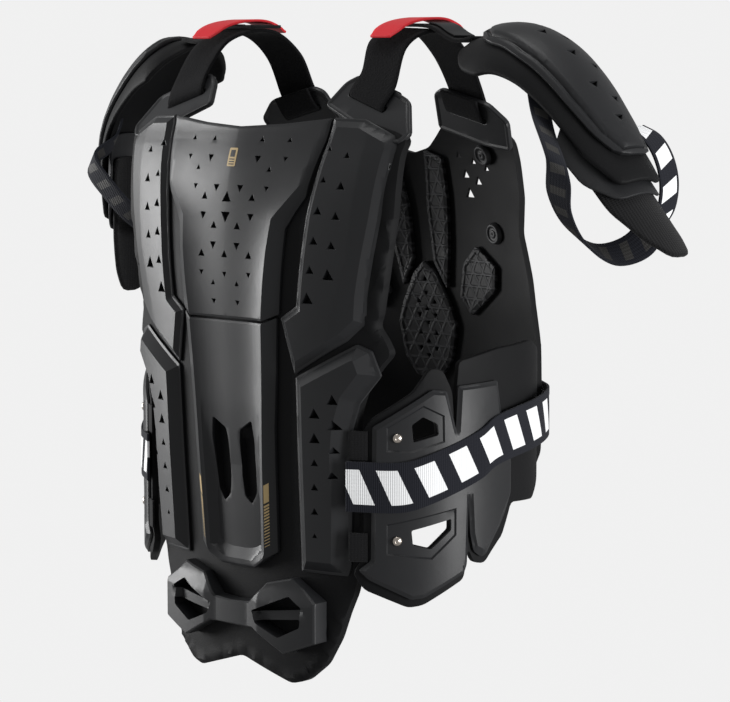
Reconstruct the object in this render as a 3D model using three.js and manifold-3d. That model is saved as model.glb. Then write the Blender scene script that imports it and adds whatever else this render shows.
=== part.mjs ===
// Roost deflector: a chest and back guard with shoulder caps and side guards, shaped as it is when worn.
// Millimetres. X points to the wearer's right, Y forwards and Z up.
// The origin is midway between the two shoulder straps, level with their undersides.

import * as THREE from 'three';
import { mergeVertices } from 'three/addons/utils/BufferGeometryUtils.js';
import Module from 'manifold-3d';

const wasm = await Module();
wasm.setup();

// Driving dimensions
const torsoHalf = 200;          // half width that the outlines' shares count across
const torsoLength = 600;        // length that the outlines' shares count downwards
const backDepth = 140;          // how far the back stands behind the shoulder line
const chestDepth = 150;         // how far the chest's inner face stands in front of it
const sideDrop = 61;            // how far the panels curve round at torsoHalf, low down
const topDrop = 38;             // the same at the shoulder blades
const flankTuck = 3;            // how far the side guards' oval stays inside torsoHalf
const flankFront = 12;          // how far their oval's front stands ahead of the chest's inner face
const flankInset = 2;           // how far its rear stays inside the back

const linerWall = 9;            // back foam
const chestWall = 8;            // front foam
const shellWall = 3;            // moulded plates
const spineRise = 6;            // ridges of the spine plates
const kidneyRise = 9;           // raised face of the kidney plates
const wingRise = 4;             // raised face of the wings
const tailRise = 14;            // the tail plate stands on a block this high
const chestRise = 8;            // raised face of the chest plates
const innerPadWall = 5;         // textured pads inside the chest
const guardWall = 3;            // side guard plate
const guardPadWall = 6;         // foam behind it
const gap = 0.35;               // clearance between layers that touch

const ventLarge = 10.5;         // width of the vents, point to point
const ventMedium = 7;
const ventSmall = 4.8;
const ventShare = 0.87;         // height of a vent for its width

const anchorWall = 4;           // plates that carry the shoulder straps
const slotHeight = 8;
const backSlotRise = 17.2;      // of the slots over the top edges of the back foam and the chest foam
const chestSlotRise = 6.6;
const backSlotInset = 65;       // and of the slots behind the chest's depth or in front of the back's
const chestSlotInset = 75.5;
const strapWidth = 44;
const strapWall = 3;
const strapSide = 105;          // middle of each shoulder strap from the centre
const tabWidth = 30;
const tabWall = 2.4;
const linkWidth = 40;           // webbing from the strap to the cap
const buckleLength = 34;
const buckleWall = 2;

const capLength = 252;          // along the crest of a shoulder cap
const capHalf = 52;             // half width of a cap, front to back
const capSag = 40;              // how far its edges hang below the crest
const capStart = 171;           // where its crest starts, from the centre
const capLift = -16;            // and how high
const capForward = 4;
const capPadWall = 6;
const capShellWall = 5;
const capGap = 1.5;              // between a cap's curved layers
const bicepLength = 62;
const bicepWall = 5;
const armStrapWidth = 28;
const armStrapWall = 2.2;

const sideStrapWidth = 45;
const sideStrapWall = 2.4;
const rivetRadius = 4.2;
const rivetRise = 3;
const studRadius = 11;
const studRise = 4;
const studLift = 2.4;            // the chest curves away behind a stud's rim
const tabLength = 26;            // of the tabs that tie the side guards to the back
const tabThick = 2;

// Finishes
const finish = (color, roughness, metalness = 0) => new THREE.MeshStandardMaterial({ color, roughness,
  metalness });
const plate = finish(0x34363a, 0.55);
const foam = finish(0x15161a, 0.9);
const webbing = finish(0x111113, 0.95);
const rubber = finish(0x1a1b1e, 0.75);
const red = finish(0xd8232e, 0.6);
const steel = finish(0x9a938a, 0.3, 0.9);
const elastic = finish(0x14151c, 0.85);

const part = new THREE.Group();
const up = new THREE.Vector3(0, 0, 1);
const forwards = new THREE.Vector3(0, 1, 0);
const sides = [['right', 1], ['left', -1]];

// Shares of the torso to millimetres, in percent: across from the centre and down from the straps
const across = (share) => torsoHalf * share / 100;
const down = (share) => -torsoLength * share / 100;
const lerp = THREE.MathUtils.lerp;
const clamp = THREE.MathUtils.clamp;

// Value at a place in a table of rows, each [place, value], places rising
function along(table, place) {
  let i = 1;
  while (i < table.length - 1 && table[i][0] < place) i += 1;
  const [a, b] = [table[i - 1], table[i]];
  return lerp(a[1], b[1], clamp((place - a[0]) / (b[0] - a[0]), 0, 1));
}

// Depth of the back and of the chest down the middle, as [share of length, share of depth]
const backLine = [[13, 0.82], [18.5, 0.916], [24.3, 0.964], [30, 0.982], [36, 0.987], [43, 0.966],
  [50.3, 0.943], [57, 0.928], [63.8, 0.914], [72, 0.89], [80.7, 0.868], [90, 0.868], [99, 0.868]];
const chestLine = [[10, 0.55], [13, 0.64], [17.7, 0.767], [24, 0.83], [31, 0.887], [39, 0.935],
  [48.2, 0.98],
  [59, 0.985], [70, 0.98], [80, 0.93]];

// How far a panel curves round at a distance from the middle
function drop(x, z) {
  const low = clamp((-z / torsoLength - 0.17) / 0.25, 0, 1);
  return lerp(topDrop, sideDrop, low) * Math.pow(Math.abs(x) / torsoHalf, lerp(1.4, 2.1, low));
}

// Surfaces of the torso: t is the distance outwards from the foam's outer face, or the chest's inner face
const backAt = (x, z, t) => new THREE.Vector3(x, -backDepth * along(backLine, -100 * z / torsoLength)
  + drop(x, z) - t, z);
const chestAt = (x, z, t) => new THREE.Vector3(x, chestDepth * along(chestLine, -100 * z / torsoLength)
  - drop(x, z) + t, z);

// Oval round the flanks: the angle is 0 at the side, negative towards the back
const flankPower = 2 / 2.3;
const flankHalf = torsoHalf - flankTuck;
const flankDepth = (chestDepth + flankFront + backDepth - flankInset) / 2;
const flankCentre = (chestDepth + flankFront - backDepth + flankInset) / 2;
function flankAt(degrees, z, t) {
  const angle = THREE.MathUtils.degToRad(degrees);
  const [c, s] = [Math.cos(angle), Math.sin(angle)];
  return new THREE.Vector3((flankHalf + t) * Math.pow(c, flankPower),
    flankCentre + (flankDepth + t) * Math.sign(s) * Math.pow(Math.abs(s), flankPower), z);
}

// Closed solid over a grid: low and high give the two faces' distances at a grid point
function slab(place, columns, rows, low, high) {
  const face = (height) => rows.flatMap((v) => columns.map((u) => place(u, v, height(u, v))));
  const points = [...face(high), ...face(low)];
  const [n, m] = [columns.length, rows.length];
  const index = [];
  const quad = (a, b, c, d) => index.push(a, b, c, a, c, d);
  const at = (i, j, side) => side * n * m + j * n + i;
  for (let j = 0; j < m - 1; j += 1) {
    for (let i = 0; i < n - 1; i += 1) {
      quad(at(i, j, 0), at(i + 1, j, 0), at(i + 1, j + 1, 0), at(i, j + 1, 0));
      quad(at(i, j, 1), at(i, j + 1, 1), at(i + 1, j + 1, 1), at(i + 1, j, 1));
    }
    quad(at(0, j, 0), at(0, j + 1, 0), at(0, j + 1, 1), at(0, j, 1));
    quad(at(n - 1, j, 0), at(n - 1, j, 1), at(n - 1, j + 1, 1), at(n - 1, j + 1, 0));
  }
  for (let i = 0; i < n - 1; i += 1) {
    quad(at(i, 0, 0), at(i, 0, 1), at(i + 1, 0, 1), at(i + 1, 0, 0));
    quad(at(i, m - 1, 0), at(i + 1, m - 1, 0), at(i + 1, m - 1, 1), at(i, m - 1, 1));
  }
  const geometry = new THREE.BufferGeometry();
  geometry.setAttribute('position', new THREE.Float32BufferAttribute(points.flatMap((p) => p.toArray()),
    3));
  geometry.setIndex(index);
  return facingOut(geometry);
}

// The same geometry with its faces pointing out
function facingOut(geometry) {
  const p = geometry.attributes.position;
  const index = geometry.index.array;
  const [a, b, c] = [new THREE.Vector3(), new THREE.Vector3(), new THREE.Vector3()];
  let volume = 0;
  for (let i = 0; i < index.length; i += 3) {
    a.fromBufferAttribute(p, index[i]);
    b.fromBufferAttribute(p, index[i + 1]);
    c.fromBufferAttribute(p, index[i + 2]);
    volume += a.dot(b.cross(c));
  }
  if (volume < 0) geometry.setIndex([...index].reverse());
  return geometry;
}

// Even steps from a start to an end, none longer than a step
function steps(start, end, step) {
  const count = Math.max(1, Math.ceil(Math.abs(end - start) / step));
  return Array.from({ length: count + 1 }, (_, i) => lerp(start, end, i / count));
}

// Solids in manifold-3d and back
function solid(geometry) {
  const bare = geometry.clone();
  bare.deleteAttribute('normal');
  bare.deleteAttribute('uv');
  const merged = mergeVertices(bare, 1e-4);
  return new wasm.Manifold(new wasm.Mesh({
    numProp: 3,
    vertProperties: new Float32Array(merged.attributes.position.array),
    triVerts: new Uint32Array(merged.index.array),
  }));
}

function geometryOf(body) {
  const mesh = body.getMesh();
  const geometry = new THREE.BufferGeometry();
  geometry.setAttribute('position', new THREE.BufferAttribute(new Float32Array(mesh.vertProperties), 3));
  geometry.setIndex(new THREE.BufferAttribute(new Uint32Array(mesh.triVerts), 1));
  return geometry;
}

// Straight prism through points of space, along a direction, long enough to pass the panels
function prism(points, direction, reach = 90) {
  const n = direction.clone().normalize();
  const v = up.clone().addScaledVector(n, -up.dot(n)).normalize();
  const u = v.clone().cross(n);
  const middle = points.reduce((sum, p) => sum.add(p), new THREE.Vector3()).divideScalar(points.length);
  const flat = points.map((p) => new THREE.Vector2(p.clone().sub(middle).dot(u),
    p.clone().sub(middle).dot(v)));
  const geometry = new THREE.ExtrudeGeometry(new THREE.Shape(flat), { depth: 2 * reach,
    bevelEnabled: false });
  const frame = new THREE.Matrix4().makeBasis(u, v, n);
  frame.setPosition(middle.addScaledVector(n, -reach));
  return solid(geometry.applyMatrix4(frame));
}

// Points of an outline given as shares across and down, on one side or mirrored to both
const halfOutline = (rows, side) => rows.map(([x, z]) => new THREE.Vector3(side * across(x), 0, down(z)));
const fullOutline = (rows) => [...halfOutline(rows, 1), ...halfOutline(rows, -1).reverse().filter((p) =>
  p.x < 0)];

// Rows of the grid that all layers of a panel share, so that they keep an even distance
function gridRows(table, start, end, parts) {
  const stops = table.slice(1).flatMap((row, i) => {
    const before = table[i][0];
    return Array.from({ length: parts }, (_, k) => lerp(before, row[0], (k + 1) / parts));
  });
  return [table[0][0], ...stops].filter((s, i, all) => (all[i + 1] ?? 999) > start && (all[i - 1] ??
    -999) < end).map(down);
}

const gridStep = 8;

// A panel of the back or chest: a slab on the surface, cut to an outline
function panel(place, table, points, low, high, coarse = 2) {
  const xs = points.map((p) => p.x);
  const zs = points.map((p) => -100 * p.z / torsoLength);
  const step = gridStep * coarse;
  const first = Math.floor(Math.min(...xs) / step) - 1;
  const last = Math.ceil(Math.max(...xs) / step) + 1;
  const columns = Array.from({ length: last - first + 1 }, (_, i) => (first + i) * step);
  const rows = gridRows(table, Math.min(...zs) - 1, Math.max(...zs) + 1, 1);
  const lowAt = typeof low === 'number' ? () => low : low;
  const highAt = typeof high === 'number' ? () => high : high;
  return solid(slab(place, columns, rows, lowAt, highAt)).intersect(prism(points, forwards, 400));
}

// Vents in rows of [share across, share down, width, turn], some of them on both sides
const bothSides = ([x, ...rest]) => (x === 0 ? [[x, ...rest]] : [[x, ...rest], [-x, ...rest]]);
const ventCut = ([x, z, width, turn]) => vent(across(x), down(z), width, turn);

// Distance of a place to an outline's edge, positive inside
function inside(points, x, z) {
  let nearest = Infinity;
  let within = false;
  points.forEach((a, i) => {
    const b = points[(i + 1) % points.length];
    const length = (b.x - a.x) ** 2 + (b.z - a.z) ** 2;
    const s = clamp(((x - a.x) * (b.x - a.x) + (z - a.z) * (b.z - a.z)) / length, 0, 1);
    nearest = Math.min(nearest, Math.hypot(x - lerp(a.x, b.x, s), z - lerp(a.z, b.z, s)));
    if ((a.z > z) !== (b.z > z) && x < a.x + (z - a.z) * (b.x - a.x) / (b.z - a.z)) within = !within;
  });
  return within ? nearest : -nearest;
}

// Triangular vent as a prism: turn is 1 for a point upwards and -1 for a point downwards
function vent(x, z, width, turn) {
  const [half, tall] = [width / 2, width * ventShare];
  const corners = [[-half, -tall / 2], [half, -tall / 2], [0, tall / 2]];
  return prism(corners.map(([dx, dz]) => new THREE.Vector3(x + dx, 0, z + turn * dz)), forwards, 200);
}

const cutAll = (body, cutters) => cutters.reduce((rest, cutter) => rest.subtract(cutter), body);

function add(name, shape, material) {
  const geometry = shape instanceof THREE.BufferGeometry ? shape : geometryOf(shape);
  const mesh = new THREE.Mesh(geometry, material);
  mesh.name = name;
  part.add(mesh);
}

// A geometry made for the right, turned into its left twin
function mirrored(geometry, side) {
  if (side > 0) return geometry;
  const twin = geometry.clone().applyMatrix4(new THREE.Matrix4().makeScale(-1, 1, 1));
  if (!twin.index) twin.setIndex([...Array(twin.attributes.position.count).keys()]);
  return facingOut(twin);
}

// Slotted plate in its own plane: u runs along the slot and v across it
function anchor({ outline, centre, u, v }, wall, open = true) {
  const shape = new THREE.Shape(outline.map(([a, b]) => new THREE.Vector2(a, b)));
  const [half, tall] = [strapWidth / 2 + 2, slotHeight / 2];
  const corner = tall * 0.6;
  const hole = new THREE.Path([[-half, -tall + corner], [-half + corner, -tall], [half - corner, -tall],
    [half, -tall + corner], [half, tall - corner], [half - corner, tall], [-half + corner, tall],
    [-half, tall - corner]].map(([a, b]) => new THREE.Vector2(a, b)));
  if (open) shape.holes.push(hole);
  const geometry = new THREE.ExtrudeGeometry(shape, { depth: wall, bevelEnabled: false });
  const n = u.clone().cross(v).normalize();
  const frame = new THREE.Matrix4().makeBasis(u, n.clone().cross(u), n);
  frame.setPosition(centre.clone().addScaledVector(n, -wall / 2));
  return geometry.applyMatrix4(frame);
}
const backSlot = new THREE.Vector3(114, backSlotInset - backDepth, down(13.2) + backSlotRise);
const chestSlot = new THREE.Vector3(104.5, chestDepth - chestSlotInset, down(13.6) + chestSlotRise);
const backSlotAlong = new THREE.Vector3(42.5, -3.5, -14).normalize();
const chestSlotAlong = new THREE.Vector3(43.8, 0, -11).normalize();
const backAnchorOutline = [[-38, -20], [-36, 8], [-28, 20], [-14, 24], [40, 19], [66, -8], [62, -22],
  [34, -27]];
const chestAnchorOutline = [[-40, -26], [-38, 14], [-28, 22], [30, 22], [52, 8], [50, -24], [20, -28]];
const backAnchor = { outline: backAnchorOutline, centre: backSlot, u: backSlotAlong,
  v: new THREE.Vector3(0.18, 0.6, 0.78) };
const chestAnchor = { outline: chestAnchorOutline, centre: chestSlot, u: chestSlotAlong,
  v: new THREE.Vector3(0.12, -0.5, 0.86) };
const pockets = (plan) => sides.map(([, side]) => solid(mirrored(anchor(plan, anchorWall + 2 * gap,
  false), side)));
sides.forEach(([name, side]) => {
  add(`strap_anchor_back_${name}`, mirrored(anchor(backAnchor, anchorWall), side), plate);
  add(`strap_anchor_chest_${name}`, mirrored(anchor(chestAnchor, anchorWall), side), plate);
});

// Back foam
const linerOutline = [[0, 14.6], [25, 13.9], [47, 13.3], [66, 13.2], [82.5, 14.6], [86, 15.6],
  [84.5, 17.6], [83.5, 26.2],
  [79, 35.3], [75.3, 41.4], [73.6, 42.6], [77, 44.6], [79.5, 46.8], [75, 48.6], [68, 52], [64, 56],
  [63.5, 66], [63, 78], [60, 83], [56.5, 86],
  [52.5, 90.2], [46, 94.4], [36.5, 97.2], [29, 97.9], [15, 96.4], [0, 94.8]];
add('back_liner', cutAll(panel(backAt, backLine, fullOutline(linerOutline), -linerWall, 0, 2),
  pockets(backAnchor)), foam);

// Upper spine plate, between the wings, with a ridge down each side
const upperOutline = [[0, 13.9], [25, 13.4], [49.2, 12.5], [48.3, 15.8], [42.8, 24], [38, 26.2],
  [33.5, 28.7],
  [30, 41.5], [22.7, 42.6], [0, 42.6]];
const ridgeLine = [[12.5, 47], [22.3, 40.5], [27.3, 27.8], [42.5, 22.7], [58.8, 20.5], [78, 18.5],
  [84, 12]];
const ridgeFoot = 7;
function spineHeight(x, z) {
  const ridge = across(along(ridgeLine, -100 * z / torsoLength));
  const reach = Math.abs(x) / ridge;
  const share = reach < 1 ? 0.12 + 0.88 * reach ** 3 : 1 - (Math.abs(x) - ridge) / across(ridgeFoot);
  return shellWall + spineRise * clamp(share, 0, 1) * clamp((-z / torsoLength - 0.12) / 0.2, 0.1, 1);
}
const upperVents = [[30, 15.7, ventSmall, 1], [15, 15.7, ventSmall, 1], [30, 18.6, ventSmall, -1],
  [14.8, 18.7, ventMedium, -1],
  [22.4, 20.1, ventSmall, 1], [22.4, 23, ventSmall, -1], [7.5, 23.1, ventMedium, -1], [15, 24.3,
  ventMedium, 1],
  [0, 24.3, ventLarge, 1], [15, 27.3, ventMedium, -1], [0, 27.4, ventLarge, -1], [7.4, 28.6, ventMedium, 1],
  [7.5, 31.7, ventMedium, -1], [14.9, 32.9, ventMedium, 1], [0, 32.9, ventMedium, 1], [14.9, 35.9,
  ventSmall, -1],
  [0, 36, ventSmall, -1], [7.5, 37.3, ventSmall, 1], [7.5, 40.2, ventSmall, -1]];
add('spine_plate_upper', cutAll(panel(backAt, backLine, fullOutline(upperOutline), gap, (x, z) => gap
  + spineHeight(x, z), 1),
  upperVents.flatMap(bothSides).map(ventCut)), plate);

// Lower spine plate, with two long slots in its channel
const lowerOutline = [[0, 42.9], [22.8, 42.9], [29, 42], [27.5, 49], [25.5, 58.8], [24, 77.8],
  [10.5, 80.7], [0, 80.8]];
const channelSlot = [[3.8, 59.3], [12.4, 57.9], [9.2, 70.5], [4, 70.5]];
add('spine_plate_lower', cutAll(panel(backAt, backLine, fullOutline(lowerOutline), gap, (x, z) => gap
  + spineHeight(x, z), 1),
  [1, -1].map((side) => prism(halfOutline(channelSlot, side), forwards, 200))), plate);

// Wings beside the upper plate, kidney plates below them
const wingOutline = [[50.2, 12.4], [66, 12.6], [80.5, 14.9], [82.5, 16.5], [78, 27.2], [71.5, 38.3],
  [70, 42.4], [62, 45],
  [36.5, 50.4], [30.6, 42], [39, 40.1], [43.6, 26.5], [49, 16.2]];
const wingVents = [[62, 17.8, ventSmall, 1], [61, 22.2, ventMedium, 1], [59.5, 26.6, ventMedium, 1],
  [57.8, 30.9, ventMedium, 1],
  [56.2, 35.2, ventLarge, 1], [52.5, 16.8, ventSmall, 1], [52.3, 21.4, ventSmall, 1], [50.8, 25.9,
  ventMedium, 1],
  [49.4, 30.3, ventMedium, 1], [47.8, 34.6, ventMedium, 1], [46.2, 38.8, ventLarge, 1]];
const kidneyOutline = [[37, 50.8], [66.5, 45.4], [72.5, 46.3], [76, 50], [66.5, 54.2], [63, 58],
  [61.6, 62], [61.4, 70.5],
  [60, 78.7], [58.5, 80.4], [36, 80.3]];
const kidneyVents = [[57.6, 53.6, ventLarge, 1], [57.4, 57.4, ventLarge, 1], [56.8, 61.2, ventMedium, 1],
  [56, 65, ventMedium, 1],
  [49, 55.8, ventLarge, 1], [48.7, 59.5, ventLarge, 1], [48.3, 63.2, ventMedium, 1], [47.8, 66.9,
  ventMedium, 1],
  [47.3, 70.6, ventMedium, 1], [46.8, 74.3, ventSmall, 1]];
const raised = (points, rise, slope) => (x, z) => gap + shellWall + rise * clamp(inside(points, x,
  z) / slope - 0.2, 0, 1);
sides.forEach(([name, side]) => {
  const wing = halfOutline(wingOutline, side);
  const kidney = halfOutline(kidneyOutline, side);
  const vents = (rows) => rows.map(([x, ...rest]) => ventCut([side * x, ...rest]));
  add(`back_wing_${name}`, cutAll(panel(backAt, backLine, wing, gap, raised(wing, wingRise, 22)),
    [...vents(wingVents), ...pockets(backAnchor)]), plate);
  add(`kidney_plate_${name}`, cutAll(panel(backAt, backLine, kidney, gap, raised(kidney, kidneyRise, 12)),
    vents(kidneyVents)), plate);
});

// Tail plate: two lobes with a window each and a bar across it
const tailOutline = [[0, 85.8], [11, 85.6], [20, 82.4], [33.8, 81.3], [47.5, 84.6], [47.5, 90.7],
  [31.2, 92.8],
  [13.4, 89.6], [0, 89.6]];
const tailWindow = [[33.5, 84], [40.8, 85.4], [39.9, 88.5], [28.6, 90.4], [15.6, 88.6], [13.1, 86.9]];
const tailBar = [[15, 87.2], [40.6, 85.9], [40.4, 87.1], [15.4, 88.3]];
const tailHeight = (x, z) => gap + tailRise * clamp((-z / torsoLength - 0.8) / 0.05, 0.6, 1) + shellWall;
const tail = panel(backAt, backLine, fullOutline(tailOutline), gap, tailHeight);
const windows = [1, -1].map((side) => prism(halfOutline(tailWindow, side), forwards, 200)
  .subtract(prism(halfOutline(tailBar, side), forwards, 220)));
add('tail_plate', cutAll(tail, windows), plate);

// Front foam, with an open window of vents beside each textured strip
const chestOutline = [[0, 19], [12, 18], [24, 15.2], [31, 13.6], [46, 13.6], [64, 14], [73.5, 16.2],
  [74, 25.3], [70.5, 31],
  [76, 38], [80, 48], [80.5, 56], [80, 65], [68, 71], [44, 74.5], [0, 75]];
const chestVents = [[32.2, 18.9, ventMedium, -1], [42, 19.8, ventMedium, -1], [51, 20.8, ventMedium, -1],
  [35, 21.9, ventMedium, -1],
  [43.5, 22.9, ventMedium, -1], [36, 24.9, ventMedium, -1]];
const chestFoam = panel(chestAt, chestLine, fullOutline(chestOutline), 0, chestWall, 2);
add('chest_liner', cutAll(chestFoam, [...chestVents.flatMap(bothSides).map(ventCut),
  ...pockets(chestAnchor)]), foam);

// Outer plates of the chest, finished plainly
const sternumOutline = [[0, 20], [12, 19.2], [26, 16.6], [29.5, 18.5], [27.5, 36], [19, 43], [0, 45]];
const bellyOutline = [[0, 45.4], [19.4, 43.4], [28, 46], [33, 56], [30, 69], [15, 73], [0, 73.5]];
const breastOutline = [[56, 17.5], [70, 17.5], [71, 26], [68.5, 31.5], [74.5, 38.5], [78, 47],
  [36, 47.5], [28.5, 42.5],
  [30.2, 27.5], [44, 26.4]];
const ribOutline = [[36, 48.5], [78.6, 48], [79, 63], [62, 69], [34, 70], [36.6, 56]];
const chestRaised = (points, rise, slope) => (x, z) => chestWall + raised(points, rise, slope)(x, z);
const chestPanel = (points, rise) => panel(chestAt, chestLine, points, chestWall + gap,
  chestRaised(points, rise, 14));
add('sternum_plate', chestPanel(fullOutline(sternumOutline), chestRise), plate);
add('belly_plate', chestPanel(fullOutline(bellyOutline), chestRise), plate);
sides.forEach(([name, side]) => {
  add(`breast_plate_${name}`, chestPanel(halfOutline(breastOutline, side), chestRise), plate);
  add(`rib_plate_${name}`, chestPanel(halfOutline(ribOutline, side), chestRise), plate);
});

// Pads on the inside of the chest
const centrePadOutline = [[0, 36.5], [7, 38.5], [15, 43.5], [18.5, 47], [15, 52.5], [8, 55.5], [0, 56]];
const stripOutline = [[10, 18.4], [21.5, 19.5], [21, 26], [17.5, 34.5], [14, 41], [6.5, 36.6], [6, 28]];
const sidePadOutline = [[37.5, 33.5], [27, 36.5], [22.5, 42], [30, 45], [49.5, 40.5], [51.5, 36.7]];
const padAt = (points) => panel(chestAt, chestLine, points, -gap - innerPadWall, -gap);
const centreVents = [[0, 39.5], [0, 42], [0, 44.4], [0, 46.9], [0, 49.8], [0, 52.3], [5, 43.2],
  [5, 45.6], [5, 48.4], [5, 51.1]]
  .flatMap(bothSides).map(([x, z], i) => ventCut([x, z, ventSmall, i % 2 ? 1 : -1]));
add('centre_pad', cutAll(padAt(fullOutline(centrePadOutline)), centreVents), rubber);
sides.forEach(([name, side]) => {
  add(`strip_pad_${name}`, padAt(halfOutline(stripOutline, side)), rubber);
  add(`side_pad_${name}`, padAt(halfOutline(sidePadOutline, side)), rubber);
});

// Press studs on the inside of the chest, in line under the straps
const studPlaces = [['upper', 52.5, 18.6, 1], ['lower', 52, 31.2, 0.35]];
sides.forEach(([name, side]) => studPlaces.forEach(([place, x, z, lift]) => {
  const centre = chestAt(side * across(x), down(z), 0);
  const outwards = chestAt(side * across(x), down(z), -1);
  const lean = chestAt(side * across(x + 2), down(z), 0).sub(centre);
  const rise = chestAt(side * across(x), down(z - 1), 0).sub(centre);
  const axis = rise.cross(lean).normalize();
  if (axis.dot(outwards.sub(centre)) < 0) axis.negate();
  const stud = new THREE.CylinderGeometry(studRadius * 0.8, studRadius, studRise, 16);
  stud.applyQuaternion(new THREE.Quaternion().setFromUnitVectors(forwards, axis));
  const seat = centre.addScaledVector(axis, studRise / 2 + lift * studLift);
  add(`press_stud_${place}_${name}`, stud.translate(seat.x, seat.y, seat.z), rubber);
}));

// Flat band along a path: sideways gives the direction of its width along the way
function band(points, sideways, width, wall, pieces, lift = 0, from = 0, to = 1) {
  const curve = new THREE.CatmullRomCurve3(points, false, 'centripetal');
  const place = (q, s, t) => {
    const side = sideways(s).normalize();
    const normal = side.clone().cross(curve.getTangentAt(s)).normalize();
    return curve.getPointAt(s).addScaledVector(side, q * width / 2).addScaledVector(normal, t);
  };
  return slab(place, [-1, 0, 1], steps(from, to, (to - from) / pieces), () => lift - wall / 2, () => lift
    + wall / 2);
}
const steady = (direction) => () => direction.clone();

// Shoulder straps: round the upper bar of each slot, doubled back inside, and over the shoulder.
// Places round a bar are shares of the strap's wall, along the plate and out of it.
const barTurn = [[8, -1.8], [2.6, -1.75], [0.2, -1.2], [-0.3, 0], [0.2, 1.2], [2.6, 1.75], [7, 1.8]];
function roundBar(plan) {
  const v = plan.v.clone().normalize();
  const out = new THREE.Vector3().crossVectors(plan.u, v).normalize();
  if (out.z < 0) out.negate();
  return barTurn.map(([rise, off]) => plan.centre.clone().addScaledVector(v, rise
    * strapWall).addScaledVector(out, off * strapWall));
}
const strapTop = [[-46, -12], [-16, 0], [18, -1], [48, -22]];
const overShoulder = strapTop.map(([y, z], i) => new THREE.Vector3(lerp(backSlot.x, chestSlot.x, (i
  + 1) / 5), y, z + strapWall / 2));
const strapPoints = [...roundBar(backAnchor), ...overShoulder, ...roundBar(chestAnchor).reverse()];
const level = new THREE.Vector3(1, 0, -0.04);
const strapSideways = (s) => (s < 0.5 ? backSlotAlong.clone().lerp(level, THREE.MathUtils.smoothstep(s,
  0.15, 0.42))
  : level.clone().lerp(chestSlotAlong, THREE.MathUtils.smoothstep(s, 0.6, 0.85)));
sides.forEach(([name, side]) => {
  add(`shoulder_strap_${name}`, mirrored(band(strapPoints, strapSideways, strapWidth, strapWall, 40),
    side), webbing);
});

// Webbing from each strap's top to its cap, the tab above it and the buckle plate on it
const tabRoute = [[-58, -5], [-40, 5], [-14, 10.6], [18, 10.8], [46, 1]];
const tabPoints = tabRoute.map(([y, z]) => new THREE.Vector3(strapSide + 8, y, z + strapWall / 2));
const linkRoute = [[-18, 7.4], [12, 7], [32, 4.6], [46, -2.6], [60, -7.2], [78, -4.3]];
const linkPoints = linkRoute.map(([x, z]) => new THREE.Vector3(strapSide + x, capForward, z));
const buckleStart = 0.42;
const buckleEnd = buckleStart + buckleLength / 104;
sides.forEach(([name, side]) => {
  add(`cap_link_${name}`, mirrored(band(linkPoints, steady(forwards), linkWidth, strapWall, 14), side),
    webbing);
  add(`strap_tab_${name}`, mirrored(band(tabPoints, steady(new THREE.Vector3(1, 0, 0)), tabWidth,
    tabWall, 10), side), red);
  add(`cap_buckle_${name}`, mirrored(band(linkPoints, steady(forwards), linkWidth * 0.7, buckleWall, 5,
    -(strapWall + buckleWall) / 2 - gap, buckleStart, buckleEnd), side), rubber);
});

// A cap's crest: headings in degrees from level, each held for a share of the length.
// The right cap is splayed outwards and the left one hangs close, on the same webbing.
const capBend = {
  right: [[0, 22], [0.16, 8], [0.3, -22], [0.45, -42], [0.62, -52], [0.85, -52], [1, -50], [1.4, -48]],
  left: [[0, 22], [0.08, 2], [0.18, -28], [0.3, -44], [0.45, -52], [0.57, -66], [0.68, -82], [0.8, -90],
    [1.4, -92]],
};
function crestOf(bend, share) {
  const point = new THREE.Vector2(capStart, capLift);
  const parts = 24;
  for (let i = 0; i < parts; i += 1) {
    const heading = THREE.MathUtils.degToRad(along(bend, share * (i + 0.5) / parts));
    point.x += Math.cos(heading) * capLength * share / parts;
    point.y += Math.sin(heading) * capLength * share / parts;
  }
  return point;
}
const capAt = (bend) => (q, s, t) => {
  const crest = crestOf(bend, s);
  const heading = THREE.MathUtils.degToRad(along(bend, s));
  const out = new THREE.Vector2(-Math.sin(heading), Math.cos(heading));
  const round = q * 1.15;
  const [across1, lift] = [Math.sin(round) / 1.15, (Math.cos(round) - 1) * capSag / capHalf * 1.45];
  const reach = capHalf + t;
  return new THREE.Vector3(crest.x + out.x * (t + lift * reach), capForward + across1 * reach * 1.2,
    crest.y + out.y * (t + lift * reach));
};

// A layer of the cap: its half width at places along it, as shares of the cap's half width
function capLayer(bend, widths, start, end, low, high, back = 1) {
  const place = (q, s, t) => capAt(bend)(q * along(widths, s) * (q < 0 ? back : 1), s, t);
  return slab(place, steps(-1, 1, 0.26), steps(start, end, 0.11), low, high);
}
const padWidths = [[0.02, 0.5], [0.07, 0.85], [0.16, 1], [0.35, 0.9], [0.6, 0.76], [0.8, 0.66],
  [0.95, 0.45]];
const shellWidths = [[0.12, 0.34], [0.18, 0.56], [0.35, 0.62], [0.6, 0.54], [0.76, 0.44], [0.86, 0.28]];
const flapWidths = [[0.6, 0.4], [0.72, 0.82], [0.88, 0.74], [0.99, 0.45]];
const bicepWidths = [[0.7, 0.45], [0.8, 0.72], [1, 0.66], [1.15, 0.45], [1.25, 0.18]];
const capVents = [[0.26, 0.1], [0.32, -0.1], [0.36, 0.16], [0.44, -0.04], [0.5, 0.18], [0.58, -0.08],
  [0.64, 0.14], [0.72, 0]];
const armRoute = {
  right: [[312, -56, -116], [306, -46, -144], [310, -28, -172], [322, 0, -190], [338, 24, -182],
    [346, 36, -160]],
  left: [[268, -58, -124], [250, -52, -152], [238, -34, -176], [236, -6, -190], [244, 22, -186],
    [262, 38, -168]],
};
const flat = (value) => () => value;
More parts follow.
